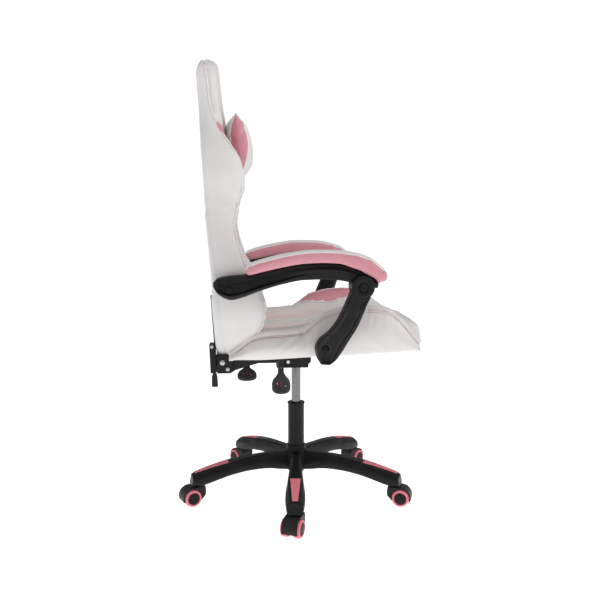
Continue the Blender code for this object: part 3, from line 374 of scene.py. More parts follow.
def box_object(name, low, high, material):
    (x0, y0, z0), (x1, y1, z1) = low, high
    vertices = [(x, y, z) for z in (z0, z1) for x, y in ((x0, y0), (x1, y0), (x1, y1), (x0, y1))]
    faces = [(3, 2, 1, 0), (4, 5, 6, 7), (0, 1, 5, 4), (1, 2, 6, 5), (2, 3, 7, 6), (3, 0, 4, 7)]
    return face_outwards(new_object(name, vertices, faces, [material]))


def inflate(obj, cap, pinned=None):
    """Swells a padded piece by cap at most, as cloth with pressure inside; pinned(point) holds its seams."""
    rest = np.array([v.co for v in obj.data.vertices], float)
    modifier = obj.modifiers.new("cloth", "CLOTH")
    settings = modifier.settings
    settings.quality = 6
    settings.mass = 0.25
    settings.tension_stiffness = 12
    settings.compression_stiffness = 12
    settings.shear_stiffness = 6
    settings.bending_stiffness = 0.6
    settings.use_pressure = True
    settings.uniform_pressure_force = PRESSURE
    settings.effector_weights.gravity = 0.0
    if pinned is not None:
        group = obj.vertex_groups.new(name="pinned")
        held = [i for i, point in enumerate(rest) if pinned(point)]
        group.add(held, 1.0, "REPLACE")
        settings.vertex_group_mass = "pinned"
    scene = bpy.context.scene
    for number in range(1, CLOTH_FRAMES + 1):
        scene.frame_set(number)
    depsgraph = bpy.context.evaluated_depsgraph_get()
    swollen = obj.evaluated_get(depsgraph).data
    moved = np.array([v.co for v in swollen.vertices], float)
    offset = moved - rest
    far = np.linalg.norm(offset, axis=1, keepdims=True)
    offset *= np.minimum(1.0, cap / np.maximum(far, 1e-9))
    obj.modifiers.clear()
    obj.vertex_groups.clear()
    obj.data.vertices.foreach_set("co", (rest + offset).ravel())
    obj.data.update()
    scene.frame_set(1)
    return obj


# ---------------------------------------------------------------- materials

class Nodes:
    """Short names for building a Principled material from texture nodes in object coordinates."""

    def __init__(self, name, colour, roughness, metallic=0.0, specular=0.5):
        self.material = bpy.data.materials.new(name)
        self.material.use_nodes = True
        self.tree = self.material.node_tree
        self.shader = self.tree.nodes["Principled BSDF"]
        self.shader.inputs["Base Color"].default_value = (*colour, 1.0)
        self.shader.inputs["Roughness"].default_value = roughness
        self.shader.inputs["Metallic"].default_value = metallic
        self.shader.inputs["Specular IOR Level"].default_value = specular
        self.place = self.tree.nodes.new("ShaderNodeTexCoord").outputs["Object"]
        self.last_bump = None

    def link(self, output, socket):
        self.tree.links.new(output, socket)

    def stretched(self, scale):
        mapping = self.tree.nodes.new("ShaderNodeMapping")
        mapping.inputs["Scale"].default_value = scale
        self.link(self.place, mapping.inputs["Vector"])
        return mapping.outputs["Vector"]

    def noise(self, scale, detail=2.0, rough=0.5, distortion=0.0, vector=None):
        node = self.tree.nodes.new("ShaderNodeTexNoise")
        node.inputs["Scale"].default_value = scale
        node.inputs["Detail"].default_value = detail
        node.inputs["Roughness"].default_value = rough
        node.inputs["Distortion"].default_value = distortion
        self.link(vector or self.place, node.inputs["Vector"])
        return node.outputs["Fac"]

    def cells(self, scale):
        node = self.tree.nodes.new("ShaderNodeTexVoronoi")
        node.inputs["Scale"].default_value = scale
        self.link(self.place, node.inputs["Vector"])
        return node.outputs["Distance"]

    def between(self, value, low, high, new_low, new_high):
        node = self.tree.nodes.new("ShaderNodeMapRange")
        numbers = {"From Min": low, "From Max": high, "To Min": new_low, "To Max": new_high}
        for socket, number in numbers.items():
            node.inputs[socket].default_value = number
        self.link(value, node.inputs["Value"])
        return node.outputs["Result"]

    def mix(self, factor, first, second):
        node = self.tree.nodes.new("ShaderNodeMix")
        node.data_type = "RGBA"
        self.link(factor, node.inputs["Factor"])
        for value, socket in ((first, node.inputs["A"]), (second, node.inputs["B"])):
            if isinstance(value, tuple):
                socket.default_value = (*value, 1.0)
            else:
                self.link(value, socket)
        return node.outputs["Result"]

    def dish(self):
        """1 low on both sides of the seat's dish and 0 away from it: where the painted rose reflection goes.
        """
        folded = self.tree.nodes.new("ShaderNodeVectorMath")
        folded.operation = "ABSOLUTE"
        mirrored = self.tree.nodes.new("ShaderNodeMapping")
        mirrored.inputs["Location"].default_value = (0.0, -1.10, 0.0)
        mirrored.inputs["Scale"].default_value = (0.0, 10.0, 0.0)
        away = self.tree.nodes.new("ShaderNodeVectorMath")
        away.operation = "LENGTH"
        self.link(self.place, folded.inputs[0])
        self.link(folded.outputs["Vector"], mirrored.inputs["Vector"])
        self.link(mirrored.outputs["Vector"], away.inputs[0])
        beside = self.between(away.outputs["Value"], 0.25, 0.75, 1.0, 0.0)
        along = self.tree.nodes.new("ShaderNodeSeparateXYZ")
        self.link(self.place, along.inputs["Vector"])
        both = self.tree.nodes.new("ShaderNodeMath")
        both.operation = "MULTIPLY"
        self.link(beside, both.inputs[0])
        self.link(self.between(along.outputs["X"], -0.02, 0.10, 0.85, 0.0), both.inputs[1])
        return both.outputs["Value"]

    def bump(self, height, distance, strength=1.0):
        node = self.tree.nodes.new("ShaderNodeBump")
        node.inputs["Distance"].default_value = distance
        node.inputs["Strength"].default_value = strength
        self.link(height, node.inputs["Height"])
        if self.last_bump is not None:
            self.link(self.last_bump, node.inputs["Normal"])
        self.last_bump = node.outputs["Normal"]
        self.link(self.last_bump, self.shader.inputs["Normal"])

    def colour(self, output):
        self.link(output, self.shader.inputs["Base Color"])

    def roughness(self, output):
        self.link(output, self.shader.inputs["Roughness"])


def darker(colour, share):
    return tuple(c * share for c in colour)


def leather(name, colour, shade, roughness=0.46, painted_rose_reflection=None):
    """Coated fabric: fine pebble grain, soft drawn wrinkles, and a shade that drifts over the panel.

    The reflection colour is pink painted into the rear half of the seat's dish: a painted reflection of the
    light that the rose panels cast there."""
    nodes = Nodes(name, colour, roughness, specular=0.42)
    drift = nodes.between(nodes.noise(7.0, 3.0, 0.55), 0.32, 0.70, 0.0, 1.0)
    worn = nodes.mix(drift, colour, shade)
    pits = nodes.between(nodes.cells(1150.0), 0.15, 0.75, 0.0, 0.45)
    grained = nodes.mix(pits, worn, darker(shade, 0.93))
    # paints the rose panels' reflection into the seat's dish as colour
    nodes.colour(nodes.mix(nodes.dish(), grained, painted_rose_reflection) if painted_rose_reflection else grained)
    nodes.roughness(nodes.between(nodes.noise(38.0, 3.0), 0.3, 0.7, roughness - 0.07, roughness + 0.08))
    nodes.bump(nodes.noise(24.0, 3.0, 0.45, 0.6), 0.0016, 0.35)
    nodes.bump(nodes.noise(95.0, 2.0, 0.5, 0.3), 0.0004, 0.30)
    nodes.bump(nodes.cells(1150.0), 0.00022, 0.55)
    return nodes.material


def nylon(name, colour, highlight, roughness=0.40, grain=1500.0):
    """Moulded plastic with a fine spark-eroded texture, and edges painted a little lighter, partly as rubbed
    wear and partly as painted highlights along the rims.
    """
    nodes = Nodes(name, colour, roughness, specular=0.15)
    edges = nodes.tree.nodes.new("ShaderNodeNewGeometry").outputs["Pointiness"]
    # pointy edges painted lighter: part rubbed wear, part painted highlight on the rims
    worn_and_highlit_edges = nodes.between(edges, 0.50, 0.60, 0.0, 0.75)
    cloudy = nodes.mix(nodes.between(nodes.noise(16.0, 3.0), 0.35, 0.70, 0.0, 0.6), colour, highlight)
    nodes.colour(nodes.mix(worn_and_highlit_edges, cloudy, darker(highlight, 1.6)))
    nodes.roughness(nodes.between(nodes.noise(55.0, 4.0), 0.3, 0.7, roughness - 0.06, roughness + 0.10))
    nodes.bump(nodes.noise(grain, 2.0, 0.6), 0.00010, 0.5)
    nodes.bump(nodes.noise(60.0, 2.0), 0.0003, 0.18)
    return nodes.material


def metal(name, colour, roughness, brushed=(1.0, 1.0, 1.0), streaks=300.0, depth=0.00004):
    nodes = Nodes(name, colour, roughness, metallic=1.0)
    drawn = nodes.noise(streaks, 3.0, 0.6, vector=nodes.stretched(brushed))
    nodes.colour(nodes.mix(nodes.between(drawn, 0.3, 0.7, 0.0, 1.0), colour, darker(colour, 0.78)))
    nodes.roughness(nodes.between(nodes.noise(90.0, 3.0), 0.3, 0.7, roughness - 0.05, roughness + 0.12))
    nodes.bump(drawn, depth, 0.5)
    return nodes.material


def powder_coat(name, colour):
    nodes = Nodes(name, colour, 0.48, specular=0.26)
    speckled = nodes.between(nodes.noise(420.0, 3.0), 0.4, 0.65, 0.0, 1.0)
    nodes.colour(nodes.mix(speckled, colour, darker(colour, 2.1)))
    nodes.roughness(nodes.between(nodes.noise(60.0, 3.0), 0.3, 0.7, 0.40, 0.58))
    nodes.bump(nodes.noise(700.0, 2.0, 0.6), 0.00012, 0.8)
    return nodes.material


WHITE = leather("white_leather", (0.80, 0.780, 0.772), (0.725, 0.700, 0.694))
# The seat's white leather carries a painted pink reflection of the rose panels in the rear of its dish.
SEAT_WHITE = leather("seat_leather", (0.78, 0.757, 0.745), (0.70, 0.672, 0.662), painted_rose_reflection=(0.80, 0.615, 0.60))
# The back's rear strips: the same white leather painted a little darker and bluer, painted shade for the rear
# edge that turns away from the light.
PAINTED_SHADE_WHITE = leather("rear_panel_leather_painted_shade", (0.755, 0.75, 0.757), (0.69, 0.685, 0.693))
ROSE = leather("rose_leather", (0.70, 0.315, 0.365), (0.62, 0.255, 0.305))
PIPING = leather("piping_leather", (0.88, 0.86, 0.85), (0.84, 0.81, 0.80), 0.42)
BROWN_THREAD = Nodes("brown_thread", (0.42, 0.29, 0.26), 0.75).material
WHITE_THREAD = Nodes("white_thread", (0.74, 0.70, 0.68), 0.75).material
SEAM_LEATHER = leather("seam_piping", (0.70, 0.62, 0.60), (0.64, 0.55, 0.53), 0.50)
BLACK = nylon("black_nylon", (0.0065, 0.0065, 0.0068), (0.017, 0.017, 0.0175), 0.40)
BLACK_DEEP = nylon("black_nylon_recess", (0.006, 0.006, 0.0065), (0.014, 0.014, 0.0145), 0.46)
ROSE_NYLON = nylon("rose_nylon", (0.60, 0.155, 0.195), (0.68, 0.21, 0.25), 0.42)
GLOSS_BLACK = nylon("gloss_black_paint", (0.004, 0.004, 0.0042), (0.008, 0.008, 0.0085), 0.24, 900.0)
STEEL_BLACK = powder_coat("black_powder_coat", (0.0055, 0.0055, 0.006))
CHROME = metal("gas_spring_chrome", (0.20, 0.20, 0.205), 0.20, brushed=(1.0, 1.0, 0.015), streaks=420.0)
ZINC = metal("zinc_plate", (0.62, 0.62, 0.64), 0.30)
GREY_NYLON = nylon("grey_glossy_nylon", (0.045, 0.045, 0.047), (0.085, 0.085, 0.088), 0.26)
MARK_RED = Nodes("mark_red", (0.42, 0.02, 0.02), 0.5).material
MARK_WHITE = Nodes("mark_white", (0.62, 0.62, 0.60), 0.5).material


def attach(obj, body):
    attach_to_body(obj, body)
    return obj


def cord(name, body, path, radius, material=PIPING, sides=8, closed=False):
    """A leather cord sewn along a seam."""
    return attach(tube(name, path, radius, material, sides, closed), body)


# ---------------------------------------------------------------- the back

RECLINE = Vector(PIVOTS["back_recline"])
LEAN = math.radians(3.58)
BACK_LOW, BACK_TOP, WING_TOP = 0.021, 0.845, 0.659
CENTRE_HALF = 0.150
# over v, the distance up along the back: half width, ridge, centre, rear face, how far its edge comes forward
back_width = graph([(0.021, 0.208), (0.08, 0.238), (0.15, 0.254), (0.22, 0.255), (0.30, 0.247),
                    (0.38, 0.240), (0.45, 0.246), (0.52, 0.258), (0.57, 0.255), (0.62, 0.230),
                    (0.667, 0.190), (0.71, 0.165), (0.75, 0.154), (0.80, 0.147), (0.83, 0.130),
                    (0.845, 0.104)])
back_ridge = graph([(0.021, 0.030), (0.047, 0.068), (0.072, 0.100), (0.098, 0.121), (0.143, 0.1315),
                    (0.194, 0.121), (0.261, 0.0865), (0.31, 0.073), (0.365, 0.0645), (0.425, 0.0745),
                    (0.49, 0.0965), (0.536, 0.0915), (0.587, 0.066), (0.643, 0.034), (0.687, 0.020),
                    (0.72, 0.0155), (0.80, 0.0135), (0.845, 0.008)])
back_centre = graph([(0.021, 0.032), (0.06, 0.050), (0.16, 0.062), (0.25, 0.058), (0.36, 0.050),
                     (0.50, 0.047), (0.64, 0.0475), (0.72, 0.0415), (0.79, 0.0385), (0.820, 0.037),
                     (0.834, 0.030), (0.841, 0.020), (0.845, 0.010)])
back_rear = graph([(0.021, -0.0145), (0.30, -0.0150), (0.66, -0.0150), (0.812, -0.0150), (0.830, -0.0110),
                   (0.840, -0.0040), (0.845, 0.0020)])
rear_edge = graph([(0.021, 0.0), (0.175, 0.0), (0.195, 0.0040), (0.215, 0.0062), (0.264, 0.0058),
                   (0.32, 0.0032), (0.376, 0.0010), (0.403, 0.0010), (0.43, 0.0060), (0.459, 0.0085),
                   (0.54, 0.0090), (0.60, 0.0092), (0.675, 0.0070), (0.71, 0.0025), (0.745, 0.0)])
strip_width = graph([(0.021, 0.026), (0.15, 0.021), (0.30, 0.013), (0.45, 0.0085), (0.60, 0.0045),
                     (0.845, 0.002)])


def back_world(local):
    """Points (n forward, y, v up along the back) of the leaning back, in the chair's frame."""
    n, y, v = np.moveaxis(np.asarray(local, float), -1, 0)
    x = RECLINE.x + n * math.cos(LEAN) - v * math.sin(LEAN)
    z = RECLINE.z + v * math.cos(LEAN) + n * math.sin(LEAN)
    return stacked(x, y, z)


def back_half(v):
    """Control points on the right half of the back at height v, from the rear edge round to the centre."""
    width, ridge, centre, rear = back_width(v), back_ridge(v), back_centre(v), back_rear(v)
    head = smoothstep(0.60, 0.70, v)
    wing = 1 - head
    inner = np.minimum(CENTRE_HALF, width - 0.034)
    strip = np.minimum(strip_width(v), 0.6 * (ridge - rear))
    edge = rear + 0.62 * rear_edge(v)
    side = ridge - edge - strip
    points = [
        (edge, width - 0.010),
        (edge + 0.45 * strip, width - 0.0012),
        (edge + strip, width + 0.0008),
        (edge + strip + 0.5 * side, width + 0.0045 * wing + 0.001),
        (ridge - 0.010 * wing - 0.002, width - 0.003 * wing),
        (ridge - 0.004 * wing, width - 0.010 * wing - 0.0005),
        (ridge * wing + (centre - 0.013) * head, width - 0.024 * wing - 0.001 * head),
        (0.5 * (ridge + centre) * wing + (centre - 0.002) * head + 0.004 * wing,
         (width - 0.52 * (width - inner)) * wing + (width - 0.013) * head),
        (centre - 0.006 * wing, inner),
        (centre + 0.004, 0.55 * inner),
    ]
    return [(n, -y) for n, y in points]


STRIP_SEAM, SIDE_SEAM, CHANNEL = 2, 5, 8  # control points: rear strip, ridge, edge of the centre pad
BACK_MIRROR = 20  # control point k of the right half is BACK_MIRROR - k on the left


def mirrored_loop(half, centre_point, beside, closing_point):
    """The right half, its centre line, the left half and the rear, with the point beside each rear edge."""
    left = [(a, -b) for a, b in half[::-1]]
    return half + [centre_point] + left + [(beside[0], -beside[1]), closing_point, beside]


def back_grid():
    heights = np.concatenate([np.arange(BACK_LOW, 0.80, 0.0045), np.linspace(0.80, BACK_TOP, 16)])
    width, rear = back_width(heights), back_rear(heights)
    centre = (back_centre(heights) + 0.007, 0.0)
    beside = (rear + 0.30 * rear_edge(heights), -np.maximum(width - 0.034, 0.6 * width))
    middle = (rear - 0.003 * smoothstep(0.20, 0.30, heights), 0.0)
    loop = mirrored_loop(back_half(heights), centre, beside, middle)
    controls = np.stack([stacked(n, y, heights) for n, y in loop], axis=1)
    spans = [3, 4, 7, 7, 5, 6, 7, 8, 8, 8, 8, 8, 8, 7, 6, 5, 7, 7, 4, 3, 2, 9, 9, 2]
    corners = [0, STRIP_SEAM, SIDE_SEAM, CHANNEL]
    corners += [BACK_MIRROR - k for k in corners]
    return across(controls, spans, corners), spans, heights


def back_relief(grid, v, strips, seams, channels):
    """How far the covers stand out of the grid: seams, puckers, folds and soft padding."""
    lift = np.zeros(grid.shape[:2])
    waist = 0.25 + 1.5 * bump(v, 0.425, 0.045) + 0.6 * bump(v, 0.09, 0.05) + 0.5 * bump(v, 0.56, 0.04)
    for number, column in enumerate(seams):
        lift += groove(grid, column, 0.0022, 0.0028)
        lift += pucker(grid, column, 2, 0.0026, 0.030, 0.012, 11 + number, waist)
    below = 1 - smoothstep(0.64, 0.68, v)
    for number, column in enumerate(channels):
        lift += groove(grid, column, 0.0050, 0.0065) * below
        lift += pucker(grid, column, 2, 0.0014, 0.022, 0.016, 21 + number, below)
    for column in strips:
        lift += groove(grid, column, 0.0010, 0.0020) * (1 - smoothstep(0.60, 0.66, v))
    creases = ((0.0014, 0.365), (0.0012, 0.318), (0.0010, 0.262))
    folds = sum(depth * bump(v, at, 0.0075) for depth, at in creases)
    side = (np.abs(grid[..., 1]) > back_width(v) - 0.03) * smoothstep(0.0, 0.02, grid[..., 0])
    lift -= folds * side * (0.6 + 0.4 * wobble(grid, 0.05, 31))
    lift += (0.0020 * bump(v, 0.440, 0.012) + 0.0015 * bump(v, 0.395, 0.010)) * (grid[..., 0] < 0.0)
    lift += 0.0010 * wobble(grid, 0.085, 5) + 0.0005 * wobble(grid, 0.034, 6)
    return lift


def wing_share(columns, seams, channels):
    """0 at the ridge seams and outside them, rising to 1 at the edge of the centre pad."""
    right = np.clip((columns - seams[0]) / (channels[0] - seams[0]), 0, 1) * (columns < channels[0])
    left = np.clip((seams[1] - columns) / (seams[1] - channels[1]), 0, 1) * (columns > channels[1])
    return np.maximum(right, left)


def make_back():
    grid, spans, heights = back_grid()
    columns = np.arange(grid.shape[1])
    v = heights[:, None] * np.ones(grid.shape[1])
    strips, seams, channels = [(column_of(spans, k), column_of(spans, BACK_MIRROR - k))
                               for k in (STRIP_SEAM, SIDE_SEAM, CHANNEL)]
    inward = wing_share(columns, seams, channels)
    between = (inward > 0) & (inward < 1)
    panel_top = WING_TOP - 0.030 * inward
    panel_edge = 0.64 * (1 - smoothstep(0.50, 0.585, heights))
    lift = back_relief(grid, v, strips, seams, channels)
    lift -= 0.0022 * bump(v, panel_top, 0.0035) * between
    lift -= 0.0014 * bump(v, 0.752, 0.0032) * ((columns > seams[0]) & (columns < seams[1]))
    local = raised(grid, lift)
    local[..., 2] -= 0.020 * (np.abs(local[..., 1]) / 0.10) ** 1.3 * smoothstep(0.72, 0.83, v)
    world = back_world(local)

    def paint(row, column):
        if between[column] and inward[column] >= panel_edge[row] and 0.03 < heights[row] < panel_top[column]:
            return 1
        # slot 2, on the rear strips, is the white leather with painted shade
        return 2 if column < strips[0] or column >= strips[1] else 0

    shell = grid_object("back_upholstery", world, [WHITE, ROSE, PAINTED_SHADE_WHITE], paint)
    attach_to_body(shell, "back")
    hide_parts("back_cover", "back_cushion", "back_wing_left", "back_wing_right")
    normals = outward_normals(world)
    sewn = (heights > 0.028) & (heights < 0.838)
    for (name, sign), seam in zip(SIDES.items(), seams):
        cord(f"back_piping_{name}", "back", world[sewn, seam] + normals[sewn, seam] * 0.0018, 0.0027)
        beside = seam + 3 * int(sign)
        out = normals[sewn, beside]
        thread = stitches(f"back_stitching_{name}", world[sewn, beside] + out * 0.0002, out, WHITE_THREAD)
        attach(thread, "back")
    low = heights < WING_TOP
    for name, channel in zip(SIDES, channels):
        cord(f"back_channel_{name}", "back", world[low, channel] + normals[low, channel] * 0.0012, 0.0022)
    for name, first, last in (("right", seams[0], channels[0]), ("left", channels[1], seams[1])):
        across_wing = np.arange(first, last + 1)
        nearest = [int(np.argmin(np.abs(heights - panel_top[c]))) for c in across_wing]
        nearest[0 if name == "left" else -1] = nearest[1 if name == "left" else -2]
        path = world[nearest, across_wing] + normals[nearest, across_wing] * 0.0010
        path[1:-1] = 0.25 * path[:-2] + 0.5 * path[1:-1] + 0.25 * path[2:]
        cord(f"shoulder_seam_{name}", "back", path, 0.0017)


make_back()


# ---------------------------------------------------------------- the seat

SEAT_FRONT, SEAT_BOW, SEAT_OUTER = 0.366, 0.73, 0.324
SEAT_HALF = 0.250
SEAT_REAR = -0.199
LEAF_MIDDLE, LEAF_HALF = 0.122, 0.106  # along x, the rose leaf let into each bolster
FRAME_SIDE = 0.2052  # the covers go down past the frame's rails outside this
SEAT_SLOPE = 0.0408
SEAT_SEAM, SEAT_CHANNEL = 6, 10  # control points on the bolster's ridge and at the edge of the centre panel
SEAT_MIRROR = 26  # control point k of the right half is SEAT_MIRROR - k on the left
seat_ridge = graph([(-0.199, 0.4705), (-0.188, 0.4785), (-0.169, 0.492), (-0.136, 0.517), (-0.105, 0.528),
                    (-0.04, 0.532), (0.0, 0.537), (0.029, 0.558), (0.062, 0.582), (0.098, 0.5915),
                    (0.16, 0.599), (0.195, 0.600), (0.23, 0.5945), (0.264, 0.5715), (0.296, 0.535),
                    (0.324, 0.4985)])
seat_centre = graph([(-0.188, 0.490), (-0.170, 0.501), (-0.150, 0.514), (-0.10, 0.525), (0.0, 0.530),
                     (0.12, 0.541), (0.20, 0.5505), (0.25, 0.5560), (0.29, 0.5560), (0.315, 0.549),
                     (0.340, 0.5425), (0.355, 0.5350), (0.363, 0.5200), (0.366, 0.4975)])
seat_lobe = graph([(-0.188, 0.489), (-0.150, 0.524), (-0.105, 0.545), (-0.04, 0.551), (0.0, 0.556),
                   (0.03, 0.570), (0.06, 0.590), (0.10, 0.6015), (0.16, 0.607), (0.20, 0.6065),
                   (0.235, 0.600), (0.265, 0.578), (0.296, 0.541), (0.324, 0.4995)])


def seat_edge(x):
    """The covers' lower edge."""
    return 0.463 + SEAT_SLOPE * (x + 0.190)


def front_at(y):
    """The seat's bowed front edge."""
    return SEAT_FRONT - SEAT_BOW * y * y


def seat_grid():
    rows = np.concatenate([np.linspace(SEAT_REAR, -0.168, 9), np.arange(-0.164, 0.282, 0.0047),
                           np.linspace(0.284, SEAT_OUTER, 15)])
    gain = np.clip((rows - 0.19) / (SEAT_OUTER - 0.19), 0.0, 1.0)
    ridge, lobe, low = seat_ridge(rows), seat_lobe(rows), seat_edge(rows)
    centre = seat_centre(rows + gain * (SEAT_FRONT - SEAT_OUTER))
    width = SEAT_HALF - 0.012 * smoothstep(-0.10, -0.188, rows) - 0.004 * smoothstep(0.20, 0.324, rows)
    tucked = FRAME_SIDE + 0.0125 * smoothstep(-0.183, -0.189, rows)
    above = 0.0138 * (1 - smoothstep(0.262, 0.285, rows))
    thin = smoothstep(-0.160, -0.188, rows) + smoothstep(0.285, SEAT_OUTER, rows)
    full = 1 - thin
    bulge = 0.0050 * (1 - 0.8 * thin)
    side = ridge - low
    half = [
        (tucked, low + above),
        (tucked + 0.0008, low + 0.0005),
        (width - 0.014, low),
        (width - 0.002, low + 0.20 * side),
        (width + bulge - 0.001, low + 0.48 * side),
        (width - 0.003, low + 0.80 * side),
        (width - 0.012, ridge),
        (0.62 * width + 0.078, 0.35 * ridge + 0.65 * lobe + 0.0025),
        (0.5 * (width + 0.150) + 0.004, lobe),
        (0.167, 0.45 * lobe + 0.55 * centre + 0.004 * full),
        (0.150, np.minimum(centre - 0.004 * full, lobe)),
        (0.136, centre + 0.003 * full),
        (0.075, centre + 0.006 * full),
    ]
    right = [(-y, z) for y, z in half]
    loop = right + [(0.0, centre + 0.007 * full)] + half[::-1] + [(0.0, low + above)]
    controls = []
    for y, z in loop:
        bow = front_at(y) - SEAT_OUTER
        rise = gain * SEAT_SLOPE * bow * (z < low + 0.03)
        controls.append(stacked(rows + gain * bow, y, z + rise))
    spans = [2, 6, 5, 6, 6, 6, 5, 5, 5, 6, 4, 8, 8, 8, 8, 4, 6, 5, 5, 5, 6, 6, 6, 5, 6, 2, 10, 10]
    corners = [0, 1, SEAT_SEAM, SEAT_CHANNEL]
    corners += [SEAT_MIRROR - k for k in corners]
    return across(np.stack(controls, axis=1), spans, corners), spans, rows


def seat_relief(grid, rows, seams, channels):
    """How far the cover stands out of the grid: seams, puckers, drag lines and the thigh crease."""
    x, y, z = np.moveaxis(grid, -1, 0)
    lift = np.zeros(grid.shape[:2])
    sewn = 0.30 + 1.0 * bump(x, 0.025, 0.045) + 0.45 * bump(x, 0.20, 0.05) + 0.5 * bump(x, -0.13, 0.03)
    for number, column in enumerate(seams):
        lift += groove(grid, column, 0.0020, 0.0030)
        lift += pucker(grid, column, 0, 0.0040, 0.028, 0.012, 41 + number, sewn)
    for number, column in enumerate(channels):
        lift += groove(grid, column, 0.0030, 0.0055) * (1 - smoothstep(0.27, 0.31, x))
        lift += pucker(grid, column, 0, 0.0012, 0.020, 0.015, 51 + number)
    outside = np.abs(y) > FRAME_SIDE + 0.004
    flank = np.abs(y) > 0.235
    top = z > seat_edge(x) + 0.02
    drag = 0.0026 * np.sin((x * 0.8 + z * 0.75) / 0.0085 + 2.0 * wobble(grid, 0.06, 61))
    lift += drag * bump(x, 0.215, 0.045) * bump(z, 0.49, 0.025) * flank
    drag = 0.0020 * np.sin((x - z) / 0.0070 + 2.0 * wobble(grid, 0.05, 62))
    lift += drag * bump(x, -0.02, 0.05) * bump(z, 0.515, 0.018) * flank
    lift += (0.0013 * wobble(grid, 0.075, 7) + 0.0006 * wobble(grid, 0.030, 8)) * (top | outside)
    lift -= 0.0045 * bump(x, 0.262 - SEAT_BOW * y ** 2, 0.006) * (np.abs(y) < 0.150) * top
    ends = smoothstep(-0.188, -0.165, rows[:, None]) * (1 - smoothstep(0.300, 0.322, rows[:, None]))
    return lift * ends


def leaf_share(x):
    """How far down the bolster's inner face the rose leaf reaches at x."""
    return 0.30 + 0.42 * np.sqrt(np.clip(1 - ((x - LEAF_MIDDLE) / LEAF_HALF) ** 2, 0.0, 1.0))


def make_seat():
    grid, spans, rows = seat_grid()
    seams, channels = [(column_of(spans, k), column_of(spans, SEAT_MIRROR - k))
                       for k in (SEAT_SEAM, SEAT_CHANNEL)]
    world = raised(grid, seat_relief(grid, rows, seams, channels))
    in_leaf = np.abs(rows - LEAF_MIDDLE) < LEAF_HALF

    def paint(row, column):
        share = (column + 0.5 - seams[0]) / (channels[0] - seams[0])
        if column >= channels[1]:
            share = (seams[1] - 0.5 - column) / (seams[1] - channels[1])
        return in_leaf[row] and 0.30 < share < leaf_share(rows[row]) - 0.02

    cover = grid_object("seat_upholstery", world, [SEAT_WHITE, ROSE], paint)
    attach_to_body(cover, "seat")
    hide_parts("seat_cushion", "seat_bolster_left", "seat_bolster_right")
    normals = outward_normals(world)
    sewn = (rows > -0.180) & (rows < 0.3215)
    for (name, sign), seam in zip(SIDES.items(), seams):
        path = world[sewn, seam] + normals[sewn, seam] * 0.0006
        cord(f"seat_piping_{name}", "seat", path, 0.0019, SEAM_LEATHER)
        beside = seam + 3 * int(sign)
        out = normals[sewn, beside]
        thread = stitches(f"seat_stitching_{name}", world[sewn, beside] + out * 0.0002, out, BROWN_THREAD,
                          pitch=0.0058)
        attach(thread, "seat")
    leaf = np.flatnonzero(in_leaf)
    outlines = {"upper": 0.30 + 0 * leaf, "lower": leaf_share(rows[leaf])}
    for name, seam, channel in zip(SIDES, seams, channels):
        for edge, shares in outlines.items():
            places = seam + shares * (channel - seam)
            before = np.floor(places).astype(int)
            t = (places - before)[:, None]
            path = (1 - t) * world[leaf, before] + t * world[leaf, before + 1]
            cord(f"leaf_piping_{name}_{edge}", "seat", path + normals[leaf, before] * 0.0008, 0.0021)
    flat = (rows > -0.165) & (rows < 0.300)
    for name, channel in zip(SIDES, channels):
        cord(f"seat_channel_{name}", "seat", world[flat, channel] + normals[flat, channel] * 0.0008, 0.0018)


make_seat()


# ---------------------------------------------------------------- arm pads and head pillow

arm_top = graph([(-0.236, 0.682), (-0.226, 0.6925), (-0.205, 0.6972), (-0.151, 0.7030), (-0.1025, 0.7135),
                 (-0.051, 0.7250), (0.0, 0.7325), (0.041, 0.7345), (0.083, 0.7330), (0.124, 0.7220),
                 (0.156, 0.7080), (0.182, 0.6925), (0.192, 0.6845)])
arm_low = graph([(-0.236, 0.672), (-0.228, 0.657), (-0.212, 0.643), (-0.190, 0.6365), (-0.165, 0.642),
                 (-0.117, 0.6600), (-0.058, 0.6788), (0.0, 0.6922), (0.045, 0.6958), (0.083, 0.6945),
                 (0.114, 0.6895), (0.15, 0.678), (0.192, 0.671)])
pad_top = graph([(-0.150, 0.7275), (-0.135, 0.7355), (-0.094, 0.748), (-0.041, 0.760), (0.02, 0.7675),
                 (0.08, 0.767), (0.13, 0.761), (0.165, 0.750), (0.195, 0.729), (0.214, 0.706)])
PAD_MIDDLE, PAD_HALF = 0.308, 0.0395
PAD_REAR, PAD_NOSE = -0.150, 0.2145
PAD_LAP = 0.010  # how far the cover laps down over the arm on its inner side


def pad_low(x):
    return np.maximum(arm_top(x) + 0.0014, 0.6870)


